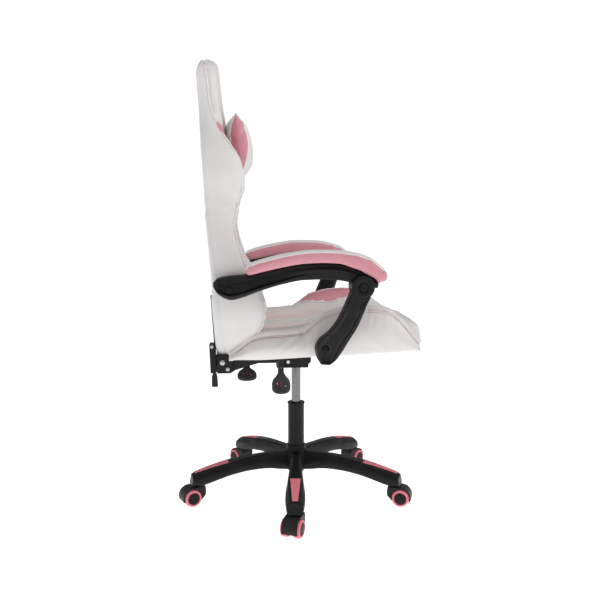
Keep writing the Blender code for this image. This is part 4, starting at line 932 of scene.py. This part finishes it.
def make_pad(side, sign):
    body_rows = np.arange(PAD_REAR + 0.010, PAD_NOSE - 0.011, 0.0045)
    turn = np.linspace(0.0, math.pi / 2, 9)
    rear_x = body_rows[0] - 0.010 * np.sin(turn)
    nose_x = body_rows[-1] + 0.011 * np.sin(turn)
    rows = np.concatenate([rear_x[::-1], body_rows[1:-1], nose_x])
    fall = np.concatenate([np.cos(turn)[::-1], np.ones(len(body_rows) - 2), np.cos(turn)])
    kept = np.clip(rows, body_rows[0], body_rows[-1])
    low = np.minimum(pad_low(kept), pad_low(rows))
    full = np.maximum(pad_top(kept) - low, 0.008)
    tall = 0.12 * full + 0.88 * full * fall
    low = low + 0.40 * (full - tall)
    half = PAD_HALF * (0.80 + 0.20 * fall) - 0.003 * smoothstep(0.12, 0.21, rows)
    section = [(0.80, 0.0), (0.97, 0.16), (1.0, 0.42), (0.985, 0.68), (0.90, 0.865), (0.62, 0.965),
               (0.30, 0.995)]
    loop = [(-half * u, low + tall * t) for u, t in section] + [(0.0, low + tall)]
    loop += [(half * u, low + tall * t - PAD_LAP * fall * (1 - t) ** 3) for u, t in section[::-1]]
    loop.append((0.0, low))
    controls = np.stack([stacked(rows, sign * (PAD_MIDDLE - y), z) for y, z in loop], axis=1)
    spans = [3, 4, 4, 3, 4, 4, 4, 4, 4, 4, 3, 4, 4, 3, 5, 5]
    seams = (column_of(spans, 4), column_of(spans, 10))
    grid = across(controls, spans, (0, 4, 10, 14))
    x, y, z = np.moveaxis(grid, -1, 0)
    lift = np.zeros(grid.shape[:2])
    curl = 0.25 + 1.3 * bump(x, 0.165, 0.035) + 0.6 * bump(x, -0.14, 0.02)
    for number, column in enumerate(seams):
        lift += groove(grid, column, 0.0016, 0.0022)
        lift += pucker(grid, column, 0, 0.0016, 0.013, 0.010, 71 + number, curl)
    creases = np.sin((x * 0.9 + z * 0.55) / 0.0042 + 1.6 * wobble(grid, 0.03, 73))
    lift += 0.0010 * creases * bump(x, 0.150, 0.030) * (np.abs(np.abs(y) - PAD_MIDDLE) > 0.030)
    lift += 0.0008 * wobble(grid, 0.030, 75)
    grid = raised(grid, lift)

    def paint(row, column):
        return 0 if seams[0] <= column < seams[1] else 1

    pad = grid_object(f"arm_pad_cover_{side}", grid, [WHITE, ROSE], paint)
    inflate(pad, 0.0025, pinned=lambda point: point[2] < float(pad_low(point[0])) + 0.004)
    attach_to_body(pad, f"arm_{side}")
    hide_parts(f"arm_pad_{side}")
    settled = settled_grid(pad, grid)
    normals = outward_normals(settled)
    keep = slice(2, -2)
    for name, column in zip(("outer", "inner"), seams):
        path = settled[keep, column] + normals[keep, column] * 0.0006
        cord(f"arm_pad_piping_{side}_{name}", f"arm_{side}", path, 0.0015, sides=6)


for side, sign in SIDES.items():
    make_pad(side, sign)

PILLOW_HALF = 0.146


def make_pillow():
    end_section = np.array([(0.0850, 0.672), (0.1030, 0.645), (0.1120, 0.607), (0.1110, 0.573),
                            (0.1010, 0.537), (0.0900, 0.510), (0.0750, 0.533), (0.0660, 0.570),
                            (0.0645, 0.610), (0.0715, 0.648)])
    full_section = np.array([(0.0840, 0.676), (0.1050, 0.652), (0.1195, 0.612), (0.1235, 0.572),
                             (0.1140, 0.532), (0.0900, 0.504), (0.0640, 0.522), (0.0525, 0.560),
                             (0.0520, 0.612), (0.0600, 0.655)])
    middle = end_section.mean(axis=0)
    cap = [(PILLOW_HALF + 0.010 * math.sqrt(1 - share ** 2), middle + (end_section - middle) * share)
           for share in (0.06, 0.30, 0.55, 0.78, 0.93)]
    rings = [(-y, ring) for y, ring in cap]
    for y in np.linspace(-PILLOW_HALF, PILLOW_HALF, 45):
        full = (1 - (abs(y) / PILLOW_HALF) ** 2.2) ** 0.6
        rings.append((y, end_section + (full_section - end_section) * full))
    seam_rows = (len(cap), len(rings) - 1)
    rings += cap[::-1]
    controls = np.array([stacked(ring[:, 0], y, ring[:, 1]) for y, ring in rings])
    grid = across(controls, [6, 6, 5, 6, 6, 6, 6, 5, 6, 6], (0, 5))
    from_end = PILLOW_HALF - np.abs(grid[..., 1])
    lift = 0.0010 * wobble(grid, 0.030, 81)
    lift += 0.0032 * wobble(grid * np.array([1.0, 0.22, 1.0]), 0.014, 82) * np.exp(-np.abs(from_end) / 0.022)
    lift -= 0.0015 * bump(from_end, 0.0, 0.003)
    world = back_world(raised(grid, lift))

    def paint(row, column):
        return 0 if seam_rows[0] <= row < seam_rows[1] else 1

    pillow = grid_object("head_pillow_cover", world, [WHITE, ROSE], paint)
    inflate(pillow, 0.003)
    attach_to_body(pillow, "back")
    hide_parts("head_pillow")
    settled = settled_grid(pillow, world)
    for name, row in zip(SIDES, seam_rows):
        out = settled[row] - settled[row].mean(axis=0)
        out /= np.linalg.norm(out, axis=1, keepdims=True)
        cord(f"pillow_piping_{name}", "back", settled[row] + out * 0.0010, 0.0021, closed=True)


make_pillow()


# ---------------------------------------------------------------- armrest links

ARM_PIVOT = (PIVOTS["arm_right_pivot"][0], 0.0, PIVOTS["arm_right_pivot"][2])
ELBOW = (PIVOTS["strut_right_pivot"][0], 0.0, PIVOTS["strut_right_pivot"][2])
ARM_REAR = -0.2365
GAP = 0.0003  # kept between pieces that meet
SLOT_OUTER, SLOT_INNER = 0.3262, 0.2950
KNUCKLE_RADIUS, EYE_RADIUS, KNUCKLE_OUTER = 0.0300, 0.0265, 0.346
arm_outer = graph([(-0.236, 0.297), (-0.17, 0.300), (-0.10, 0.310), (0.0, 0.325), (0.08, 0.331),
                   (0.192, 0.331)])
arm_inner = graph([(-0.236, 0.2655), (-0.17, 0.2655), (-0.08, 0.269), (0.0, 0.273), (0.192, 0.273)])
# (share of the arm's height, inset) up its outer face: recessed at the rear, ridged at the front
RECESSED_FACE = [(0.04, 0.0050), (0.10, 0.0008), (0.17, 0.0), (0.22, 0.0092), (0.42, 0.0098),
                 (0.60, 0.0098), (0.79, 0.0092), (0.84, 0.0), (0.91, 0.0006), (0.965, 0.0050)]
RIDGED_FACE = [(0.05, 0.0100), (0.13, 0.0085), (0.25, 0.0070), (0.38, 0.0045), (0.50, 0.0006), (0.58, 0.0),
               (0.67, 0.0035), (0.78, 0.0055), (0.89, 0.0052), (0.955, 0.0080)]


def flipped(grid, sign):
    """The right-hand side is built; sign is -1 there and mirrors y for the left."""
    return grid * np.array([1.0, -sign, 1.0])


def cylinder_tool(radius, sign, near, far, centre, steps=56):
    low, high = sorted((sign * near, sign * far))
    profile = [(0.0, low), (radius, low), (radius, high), (0.0, high)]
    return turned_object("tool", profile, [BLACK], steps=steps, along="y", centre=centre)


def make_arm(side, sign):
    ends = 0.5 - 0.5 * np.cos(np.linspace(0, math.pi, 9)[1:-1])
    rows = np.concatenate([[ARM_REAR], ARM_REAR + 0.0145 * (ends ** 1.6), np.arange(-0.221, 0.186, 0.0048),
                           [0.1885, 0.192]])
    top, low = arm_top(rows), arm_low(rows)
    tall = top - low
    outer, inner = arm_outer(rows), arm_inner(rows)
    recess = smoothstep(-0.2285, -0.215, rows)
    ridged = smoothstep(-0.075, 0.045, rows)
    loop = []
    for (t0, d0), (t1, d1) in zip(RECESSED_FACE, RIDGED_FACE):
        t = t0 * (1 - ridged) + t1 * ridged
        rim = min(d0, 0.0045)
        inset = (d0 * recess + rim * 0.1 * (1 - recess)) * (1 - ridged) + d1 * ridged
        loop.append((outer - inset, low + t * tall))
    depth = outer - inner
    loop += [(outer - 0.0105, top), (inner + 0.22 * depth, top), (inner, top - 0.14 * tall),
             (inner, low + 0.16 * tall), (inner + 0.22 * depth, low), (outer - 0.0105, low)]
    controls = np.stack([stacked(rows, -y, z) for y, z in loop], axis=1)
    grid = across(controls, [2, 2, 3, 3, 3, 3, 3, 2, 2, 3, 3, 2, 3, 2, 3, 3], (12, 13))
    arm = grid_object(f"arm_link_{side}", flipped(grid, sign), [BLACK], smooth_angle=38)
    face, inside, radius = KNUCKLE_OUTER, 0.2745, KNUCKLE_RADIUS
    disc = [(0.0, face - 0.0022), (0.0125, face - 0.0022), (0.0140, face - 0.0008), (0.0155, face),
            (radius - 0.0045, face), (radius - 0.0018, face - 0.0009), (radius, face - 0.0032),
            (radius, inside + 0.002), (radius - 0.002, inside), (0.0, inside)]
    cut(arm, "UNION", turned_across("knuckle", disc, sign, [BLACK], ELBOW, 72))
    cut(arm, "DIFFERENCE", cylinder_tool(EYE_RADIUS + 0.0010, sign, SLOT_OUTER, SLOT_INNER, ELBOW))
    near, far = sorted((sign * SLOT_OUTER, sign * SLOT_INNER))
    room_low = (ELBOW[0] - 0.05, near - 0.0001, ELBOW[2] - 0.05)
    room_high = (ELBOW[0] + 0.05, far + 0.0001, ELBOW[2] - 0.005)
    cut(arm, "DIFFERENCE", box_object("room", room_low, room_high, BLACK))
    arm.data.set_sharp_from_angle(angle=math.radians(38))
    bevelled(arm, 0.0007, 2, 38)
    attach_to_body(arm, f"arm_{side}")
    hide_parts(f"arm_{side}")
    bolt_cap(f"elbow_cap_{side}", f"arm_{side}", f"elbow_bolt_{side}", ELBOW, face - 0.0020, 0.2735, sign,
             0.0092)
    bolt_cap(f"arm_cap_{side}", "back", f"arm_bolt_{side}", ARM_PIVOT, 0.2925, 0.2030, sign, 0.0085)


def bolt_cap(name, body, node, centre, start, inner, sign, radius):
    """Domed black cap of a pivot bolt, dished in the middle, and its shank that ends at inner."""
    crown = start + 0.0058
    profile = [(0.0, crown - 0.0022), (0.0030, crown - 0.0022), (0.0034, crown - 0.0003), (0.0042, crown),
               (radius - 0.0030, crown - 0.0008), (radius - 0.0008, crown - 0.0024), (radius, start + 0.0008),
               (radius - 0.0003, start), (0.0042, start - 0.0006), (0.0040, inner), (0.0, inner)]
    cap = turned_across(name, profile, sign, [BLACK_DEEP], centre, 40)
    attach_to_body(cap, body)
    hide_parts(node)


STRUT_EDGES = [  # left edge x, z, right edge x, z, outer y, inner y, recess
    (0.121, 0.660, 0.170, 0.646, 0.346, 0.297, 0.0000),
    (0.105, 0.622, 0.161, 0.626, 0.344, 0.297, 0.0030),
    (0.089, 0.588, 0.151, 0.598, 0.338, 0.294, 0.0050),
    (0.066, 0.555, 0.135, 0.560, 0.331, 0.287, 0.0060),
    (0.042, 0.532, 0.118, 0.530, 0.322, 0.278, 0.0065),
    (0.033, 0.507, 0.101, 0.498, 0.312, 0.267, 0.0065),
    (0.037, 0.481, 0.086, 0.474, 0.304, 0.2605, 0.0050),
    (0.046, 0.463, 0.070, 0.461, 0.300, 0.260, 0.0000),
]
# (share of the strut's width, inset, 1 where the recess sinks the face)
STRUT_FACE = [(0.0, 0.0060, 0), (0.035, 0.0012, 0), (0.075, 0.0, 0), (0.135, 0.0, 0), (0.185, 0.0, 1),
              (0.35, 0.0, 1), (0.55, 0.0, 1), (0.78, 0.0, 1), (0.855, 0.0, 0), (0.92, 0.0, 0),
              (0.97, 0.0012, 0), (1.0, 0.0060, 0)]


def make_strut(side, sign):
    places = np.arange(len(STRUT_EDGES), dtype=float)
    columns = [graph(list(zip(places, values))) for values in zip(*STRUT_EDGES)]
    rows = np.concatenate([np.linspace(0, 5.6, 62), 5.6 + 1.4 * np.sin(np.linspace(0, math.pi / 2, 18)[1:])])
    left_x, left_z, right_x, right_z, outer, inner, recess = [column(rows) for column in columns]
    recess = recess * smoothstep(7.0, 6.45, rows)
    loop = [(t, outer - inset - recess * sunk) for t, inset, sunk in STRUT_FACE]
    loop += [(1.0, inner + 0.006), (0.94, inner), (0.06, inner), (0.0, inner + 0.006)]
    wide_x, wide_z = right_x - left_x, right_z - left_z
    controls = np.stack([stacked(left_x + wide_x * t, -y, left_z + wide_z * t) for t, y in loop], axis=1)
    grid = across(controls, [2, 2, 2, 2, 3, 3, 3, 2, 2, 2, 2, 3, 2, 4, 2, 3])
    strut = grid_object(f"strut_link_{side}", flipped(grid, sign), [BLACK], smooth_angle=38)
    eye_outer, eye_inner = SLOT_OUTER - GAP, SLOT_INNER + GAP
    cut(strut, "UNION", cylinder_tool(EYE_RADIUS, sign, eye_outer, eye_inner, ELBOW))
    for near, far in ((eye_outer, 0.36), (eye_inner, 0.25)):
        cut(strut, "DIFFERENCE", cylinder_tool(KNUCKLE_RADIUS + 0.0008, sign, near, far, ELBOW, 72))
    foot = (0.057, 0.0, 0.506)
    face = float(columns[4](5.0))
    cut(strut, "DIFFERENCE", cylinder_tool(0.0108, sign, face - 0.0125, face + 0.01, foot, 40))
    strut.data.set_sharp_from_angle(angle=math.radians(38))
    bevelled(strut, 0.0008, 2, 38)
    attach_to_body(strut, f"strut_{side}")
    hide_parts(f"strut_{side}")
    start = face - 0.0122
    profile = [(0.0, start + 0.0030), (0.0034, start + 0.0030), (0.0038, start + 0.0056),
               (0.0060, start + 0.0054), (0.0078, start + 0.0036), (0.0082, start), (0.0, start - 0.001)]
    screw = turned_across(f"strut_screw_{side}", profile, sign, [BLACK_DEEP], foot, 36)
    attach(screw, f"strut_{side}")


for side, sign in SIDES.items():
    make_arm(side, sign)
    make_strut(side, sign)


# ---------------------------------------------------------------- star base

BASE_TURN = -94.5
HUB_RADIUS, HUB_LOW, HUB_TOP = 0.036, 0.078, 0.1540
leg_top = graph([(0.0, 0.137), (0.04, 0.1365), (0.08, 0.1348), (0.15, 0.1295), (0.214, 0.1195),
                 (0.27, 0.1078), (0.3265, 0.0925)])
leg_bottom = graph([(0.0, 0.078), (0.02, 0.078), (0.055, 0.0815), (0.08, 0.0860), (0.11, 0.0882),
                    (0.15, 0.0875), (0.20, 0.0820), (0.245, 0.0725), (0.28, 0.0628), (0.298, 0.0585),
                    (0.332, 0.0585)])
leg_crown = graph([(0.0, 0.012), (0.02, 0.014), (0.10, 0.0120), (0.18, 0.0155), (0.214, 0.0190),
                   (0.27, 0.0160), (0.3265, 0.0110)])
leg_side = graph([(0.0, 0.018), (0.02, 0.0200), (0.10, 0.0190), (0.20, 0.0235), (0.262, 0.0275),
                  (0.274, 0.0275), (0.3265, 0.0228)])


def leg_matrix(index):
    return Matrix.Rotation(math.radians(BASE_TURN + 72.0 * index), 4, "Z")


def make_base():
    profile = [(0.0, HUB_LOW), (HUB_RADIUS - 0.0035, HUB_LOW), (HUB_RADIUS, HUB_LOW + 0.0035),
               (HUB_RADIUS, 0.124), (0.0345, 0.132), (0.0312, 0.1405), (0.0292, 0.1475),
               (0.0292, HUB_TOP - 0.0030), (0.0284, HUB_TOP - 0.0008), (0.0272, HUB_TOP),
               (0.0258, HUB_TOP - 0.0012), (0.0, HUB_TOP - 0.0014)]
    base = turned_object("star_base_casting", profile, [BLACK], steps=72)
    rows = np.concatenate([np.arange(0.004, 0.318, 0.0058), [0.3205, 0.3240, 0.3265]])
    for index in range(5):
        top, low, crown, wide = leg_top(rows), leg_bottom(rows), leg_crown(rows), leg_side(rows)
        tall = top - low
        lip = smoothstep(0.314, 0.3265, rows)
        half = [(crown - 0.0035 - 0.001 * lip, top - 0.002 * lip),
                (crown - 0.0004, top - 0.0009 - 0.003 * lip),
                (crown + 0.72 * (wide - crown), top - 0.30 * tall), (wide - 0.0012, top - 0.36 * tall),
                (wide, top - 0.52 * tall), (wide - 0.0012, low + 0.16 * tall), (wide - 0.0045, low + 0.001)]
        loop = half + [(-y, z) for y, z in half[::-1]]
        slant = 0.0055 * smoothstep(0.27, 0.3265, rows)
        controls = []
        for y, z in loop:
            share = (top - z) / tall
            controls.append(stacked(rows + slant * share - 0.0035 * lip * np.abs(y) / 0.02, y, z))
        grid = across(np.stack(controls, axis=1), [2, 3, 2, 2, 3, 2, 5] * 2, (0, 6, 7, 13))
        leg = grid_object("leg", grid, [BLACK], smooth_angle=30)
        leg.data.transform(leg_matrix(index))
        cut(base, "UNION", leg)
    taper = [(0.0, 0.05), (0.0252, 0.05), (0.0252, 0.20), (0.0, 0.20)]
    cut(base, "DIFFERENCE", turned_object("bore", taper, [BLACK_DEEP], steps=72))
    base.data.set_sharp_from_angle(angle=math.radians(32))
    bevelled(base, 0.0009, 2, 32)
    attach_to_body(base, "base")
    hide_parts("star_base")


def make_inserts():
    """Ribbed strips on the legs' ends: fine ribs run across each one."""
    insert_half = graph([(0.214, 0.0150), (0.318, 0.0078)])
    pitch = 0.0026
    rows = []
    for start in np.arange(0.2155, 0.3155, pitch):
        rows += [(start, -0.00055), (start + 0.25 * pitch, 0.00035), (start + 0.70 * pitch, 0.00035),
                 (start + 0.95 * pitch, -0.00055)]
    places = np.array([r for r, _ in rows])
    ribs = np.array([h for _, h in rows])
    for index in range(5):
        half, top = insert_half(places), leg_top(places) + 0.0010
        loop = [(half - 0.0012, top + ribs), (half, top - 0.0010), (half, top - 0.0036),
                (-half, top - 0.0036), (-half, top - 0.0010), (-half + 0.0012, top + ribs)]
        grid = np.stack([stacked(places, y, z) for y, z in loop], axis=1)
        strip = grid_object(f"leg_strip_{index + 1}", grid, [ROSE_NYLON], smooth_angle=25)
        strip.data.transform(leg_matrix(index))
        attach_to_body(strip, "base")
        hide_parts(f"leg_insert_{index + 1}")


make_base()
make_inserts()


# ---------------------------------------------------------------- casters

CASTER_REACH, CASTER_TRAIL = 0.310, 0.020
CASTER_HEADINGS = (-114.0, -19.0, 46.0, 126.0, 204.0)
WHEEL_RADIUS, WHEEL_INNER, WHEEL_OUTER = 0.025, 0.0080, 0.0285


def make_caster_wheels():
    r, near, far = WHEEL_RADIUS, WHEEL_INNER, WHEEL_OUTER
    profile = [(0.0, near), (0.0195, near), (0.0230, near + 0.0005), (r - 0.0004, near + 0.0022),
               (r, near + 0.0050), (r + 0.0002, 0.5 * (near + far)), (r, far - 0.0060),
               (r - 0.0007, far - 0.0026), (0.0226, far - 0.0006), (0.0195, far + 0.0002),
               (0.0182, far - 0.0006), (0.0177, far - 0.0022), (0.0171, far - 0.0008),
               (0.0162, far + 0.0003), (0.0125, far + 0.0009), (0.0060, far + 0.0013), (0.0, far + 0.0014)]
    slots = [0] * 11 + [1] * 5
    for index, heading in enumerate(CASTER_HEADINGS):
        number = index + 1
        stem = leg_matrix(index) @ Vector((CASTER_REACH, 0, 0))
        place = Matrix.Translation(stem) @ Matrix.Rotation(math.radians(heading), 4, "Z")
        for side, sign in SIDES.items():
            wheel = turned_across(f"caster_{number}_tyre_{side}", profile, sign, [ROSE_NYLON, BLACK],
                                  (CASTER_TRAIL, 0, WHEEL_RADIUS), 56, slots)
            wheel.data.transform(place)
            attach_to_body(wheel, f"caster_{number}_wheel_{side}")
            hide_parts(f"caster_{number}_wheel_{side}")


make_caster_wheels()


# ---------------------------------------------------------------- gas lift, mechanism and fasteners

def make_collar():
    """Guide bushing's collar with the small notches round its rim."""
    low, high = 0.2813, 0.2865
    steps = 96
    outline = [(0.0143, low - 0.010), (0.0160, low - 0.010), (0.0160, low), (0.0258, low),
               (0.0266, low + 0.0008), (0.0266, high - 0.0012), (0.0255, high), (0.0180, high - 0.0004),
               (0.0160, high - 0.0022), (0.0143, high - 0.0022)]
    rings = []
    for radius, height in outline:
        ring = []
        for k in range(steps):
            angle = 2 * math.pi * k / steps
            notch = 0.0016 * smoothstep(0.55, 0.80, math.cos(10 * angle)) if radius > 0.025 else 0.0
            ring.append((math.cos(angle) * (radius - notch), math.sin(angle) * (radius - notch), height))
        rings.append(ring)
    grid = np.array(rings)
    rows, columns = grid.shape[:2]
    faces = []
    for r in range(rows):
        for c in range(columns):
            d, s = (c + 1) % columns, (r + 1) % rows
            faces.append((r * columns + c, r * columns + d, s * columns + d, s * columns + c))
    collar = face_outwards(new_object("column_collar", grid.reshape(-1, 3), faces, [BLACK], smooth_angle=35))
    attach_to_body(collar, "base")
    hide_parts("guide_bushing")


def fastener(name, body, centre, start, sign, radius, node=None, inner=None):
    """Plated button-head screw with a round socket, across the chair."""
    crown = start + 0.62 * radius
    inner = inner or start - 0.003
    profile = [(0.0, crown - 0.0020), (0.36 * radius, crown - 0.0020), (0.42 * radius, crown),
               (0.60 * radius, crown - 0.04 * radius), (0.85 * radius, crown - 0.22 * radius),
               (radius, start + 0.10 * radius), (radius, start), (0.5 * radius, start), (0.5 * radius, inner),
               (0.0, inner)]
    screw = turned_across(name, profile, sign, [ZINC], centre, 36)
    attach(screw, body)
    if node:
        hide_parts(node)


def make_fasteners():
    """Screws of the recliner and, behind its plate, the shield that turns with the back."""
    for side, sign in SIDES.items():
        fastener(f"recline_screw_{side}", "seat", RECLINE, 0.2175, sign, 0.0078, f"recline_bolt_{side}",
                 0.2040)
        fastener(f"recliner_screw_{side}", "seat", (-0.2030, 0.0, 0.4365), 0.2165, sign, 0.0058)
        near, far = sorted((sign * 0.2088, sign * 0.2124))
        shield = box_object(f"recliner_shield_{side}", (-0.2395, near, 0.4285), (-0.1975, far, 0.4775),
                            STEEL_BLACK)
        bevelled(shield, 0.0012, 3, 30)
        attach(shield, "back")
        fastener(f"bracket_screw_{side}", "back", (-0.2455, 0.0, 0.4985), 0.2120, sign, 0.0052)


make_collar()
make_fasteners()


LEVERS = [  # name, rod's x and z, droop in degrees, rod's inner end, how far in and up the paddle sits
    ("height", -0.052, 0.4175, 66.0, -0.030, 0.0225, 0.0),
    ("tilt", -0.150, 0.4225, 20.0, -0.055, 0.0, 0.0140),
]


def paddle_grid():
    """Moulded handle of a lever: a thin neck that widens into a dished, round-cornered blade."""
    width = graph([(0.0, 0.0085), (0.038, 0.0090), (0.050, 0.0150), (0.060, 0.0235), (0.074, 0.0272),
                   (0.088, 0.0268), (0.097, 0.0215), (0.1015, 0.0120), (0.1025, 0.0040)])
    thick = graph([(0.0, 0.0052), (0.035, 0.0050), (0.060, 0.0060), (0.085, 0.0058), (0.098, 0.0040),
                   (0.1025, 0.0016)])
    tip = 0.094 + 0.0085 * np.sin(np.linspace(0, math.pi / 2, 10))
    along = np.concatenate([np.arange(0.0, 0.094, 0.0035), tip])
    wide, deep = width(along), thick(along)
    dish = 0.0016 * smoothstep(0.052, 0.070, along) * smoothstep(0.1015, 0.090, along)
    half = [(wide, 0.0 * along), (0.94 * wide, 0.62 * deep), (0.80 * wide, deep), (0.45 * wide, deep - dish)]
    loop = half + [(0 * along, deep - 1.2 * dish)] + [(-w, d) for w, d in half[::-1]]
    loop += [(-0.94 * wide, -0.62 * deep), (-0.70 * wide, -deep), (0.70 * wide, -deep),
             (0.94 * wide, -0.62 * deep)]
    controls = np.stack([stacked(w, -along, d) for w, d in loop], axis=1)
    return across(controls, [2, 2, 3, 3, 3, 3, 2, 2, 2, 2, 4, 2, 2])


def make_levers():
    for name, x, z, droop, inner, reach, lift in LEVERS:
        node = f"{name}_lever"
        place = Matrix.Translation((x, -0.106, z + lift)) @ Matrix.Rotation(math.radians(droop), 4, "X")
        blade = paddle_grid() + np.array([0.0, reach, 0.0])
        handle = grid_object(f"{name}_paddle", blade, [GREY_NYLON], smooth_angle=45)
        handle.data.transform(place)
        profile = [(0.0, -0.120), (0.0035, -0.120), (0.0035, inner), (0.0, inner)]
        rod = turned_object("rod", profile, [STEEL_BLACK], steps=28, along="y", centre=(x, 0, z))
        cut(handle, "UNION", rod)
        if name == "height":
            for low, high in (((x - 0.0034, -0.036, z - 0.003), (x + 0.0034, -0.028, 0.4448)),
                              ((x - 0.0034, -0.0365, 0.4418), (0.006, -0.026, 0.4453)),
                              ((-0.006, -0.034, 0.4420), (0.0055, 0.005, 0.4451))):
                cut(handle, "UNION", box_object("finger", low, high, STEEL_BLACK))
        handle.data.set_sharp_from_angle(angle=math.radians(40))
        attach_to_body(handle, node)
        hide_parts(node)
        for number, (outline, material) in enumerate(MARKS, 1):
            count = len(outline)
            vertices = [place @ Vector((w, reach - a, face)) for face in (MARK_FACE, MARK_FACE - 0.0012)
                        for w, a in outline]
            faces = [tuple(range(count)), tuple(range(count, 2 * count))[::-1]]
            faces += [(k, k + count, (k + 1) % count + count, (k + 1) % count) for k in range(count)]
            mark = new_object(f"{name}_mark_{number}", vertices, faces, [material], smooth_angle=20)
            attach(face_outwards(mark), node)


MARK_FACE = 0.0049
MARKS = [
    ([(0.000, 0.066), (0.0042, 0.0715), (0.0016, 0.0715), (0.0016, 0.081), (-0.0016, 0.081),
      (-0.0016, 0.0715), (-0.0042, 0.0715)], MARK_RED),
    ([(-0.0120, 0.070), (-0.0100, 0.069), (-0.0092, 0.0765), (-0.0110, 0.0772)], MARK_WHITE),
    ([(0.0095, 0.079), (0.0160, 0.0785), (0.0160, 0.0800), (0.0098, 0.0806)], MARK_WHITE),
]
make_levers()


NODE_FINISH = {  # the material of each kept CAD node, and how far its edges are softened
    "column_tube": (GLOSS_BLACK, 0.0008), "gas_spring_tube": (CHROME, 0.0004),
    "piston_rod": (CHROME, 0.0003), "release_button": (ZINC, 0.0003), "thrust_bearing": (ZINC, 0.0004),
    "retaining_clip": (ZINC, 0.0003), "mechanism_base": (STEEL_BLACK, 0.0008),
    "seat_plate": (STEEL_BLACK, 0.0008), "tilt_shaft": (ZINC, 0.0005), "seat_frame": (STEEL_BLACK, 0.0010),
    "back_frame": (STEEL_BLACK, 0.0), "recline_lever": (BLACK, 0.0010),
    "recliner_plate_left": (STEEL_BLACK, 0.0007), "recliner_plate_right": (STEEL_BLACK, 0.0007),
    "back_bracket_left": (STEEL_BLACK, 0.0008), "back_bracket_right": (STEEL_BLACK, 0.0008),
}
for number in range(1, 6):
    NODE_FINISH[f"caster_{number}_housing"] = (BLACK, 0.0014)


def finish_nodes():
    """Gives the kept CAD nodes their materials and softens their edges."""
    for node, (material, edge) in NODE_FINISH.items():
        obj = frame["nodes"][node]
        for slot in obj.material_slots:
            slot.material = material
        if not obj.material_slots:
            obj.data.materials.append(material)
        if edge:
            bevelled(obj, edge, 3, 35)


finish_nodes()


# ---------------------------------------------------------------- floor, light and camera

def studio():
    """White sweep: the floor and the world come out white, and large soft lamps model the covers."""
    material = Nodes("studio_floor", (0.90, 0.90, 0.90), 0.85, specular=0.1)
    material.shader.inputs["Emission Color"].default_value = (1.0, 1.0, 1.0, 1.0)
    material.shader.inputs["Emission Strength"].default_value = 0.85
    corners = [(-9, -7, 0), (9, -7, 0), (9, 9, 0), (-9, 9, 0)]
    new_object("studio_floor", corners, [(0, 1, 2, 3)], [material.material])
    world = bpy.data.worlds.new("studio")
    bpy.context.scene.world = world
    world.use_nodes = True
    tree = world.node_tree
    light = tree.nodes["Background"]
    light.inputs["Strength"].default_value = 0.38
    seen = tree.nodes.new("ShaderNodeBackground")
    for node in (light, seen):
        node.inputs["Color"].default_value = (1.0, 1.0, 1.0, 1.0)
    seen.inputs["Strength"].default_value = 1.05
    choose = tree.nodes.new("ShaderNodeMixShader")
    tree.links.new(tree.nodes.new("ShaderNodeLightPath").outputs["Is Camera Ray"], choose.inputs["Fac"])
    tree.links.new(light.outputs["Background"], choose.inputs[1])
    tree.links.new(seen.outputs["Background"], choose.inputs[2])
    tree.links.new(choose.outputs["Shader"], tree.nodes["World Output"].inputs["Surface"])
    bpy.context.scene.view_settings.view_transform = "Standard"
    for name, place, aim, size, power in (
            ("top_light", (0.3, -0.9, 3.4), (0, 0, 0.6), 2.0, 20.0),
            ("front_light", (2.8, -1.2, 2.0), (0, 0, 0.7), 1.3, 26.0),
            ("rear_light", (-2.8, -0.4, 2.2), (0, 0, 0.8), 1.2, 10.0)):
        lamp = bpy.data.lights.new(name, "AREA")
        lamp.size = size
        lamp.energy = power
        lit = bpy.data.objects.new(name, lamp)
        lit.location = place
        lit.rotation_mode = "QUATERNION"
        lit.rotation_quaternion = (Vector(aim) - Vector(place)).to_track_quat("-Z", "Y")
        bpy.context.scene.collection.objects.link(lit)


def camera():
    lens = bpy.data.cameras.new("camera")
    lens.lens = 45.0
    lens.sensor_width = 36.0
    view = bpy.data.objects.new("camera", lens)
    view.location = (-0.157, -2.2445, 0.873)
    view.rotation_euler = (math.radians(83.08), 0.0, math.radians(-4.31))
    bpy.context.scene.collection.objects.link(view)
    bpy.context.scene.camera = view


studio()
camera()
bpy.context.view_layer.update()
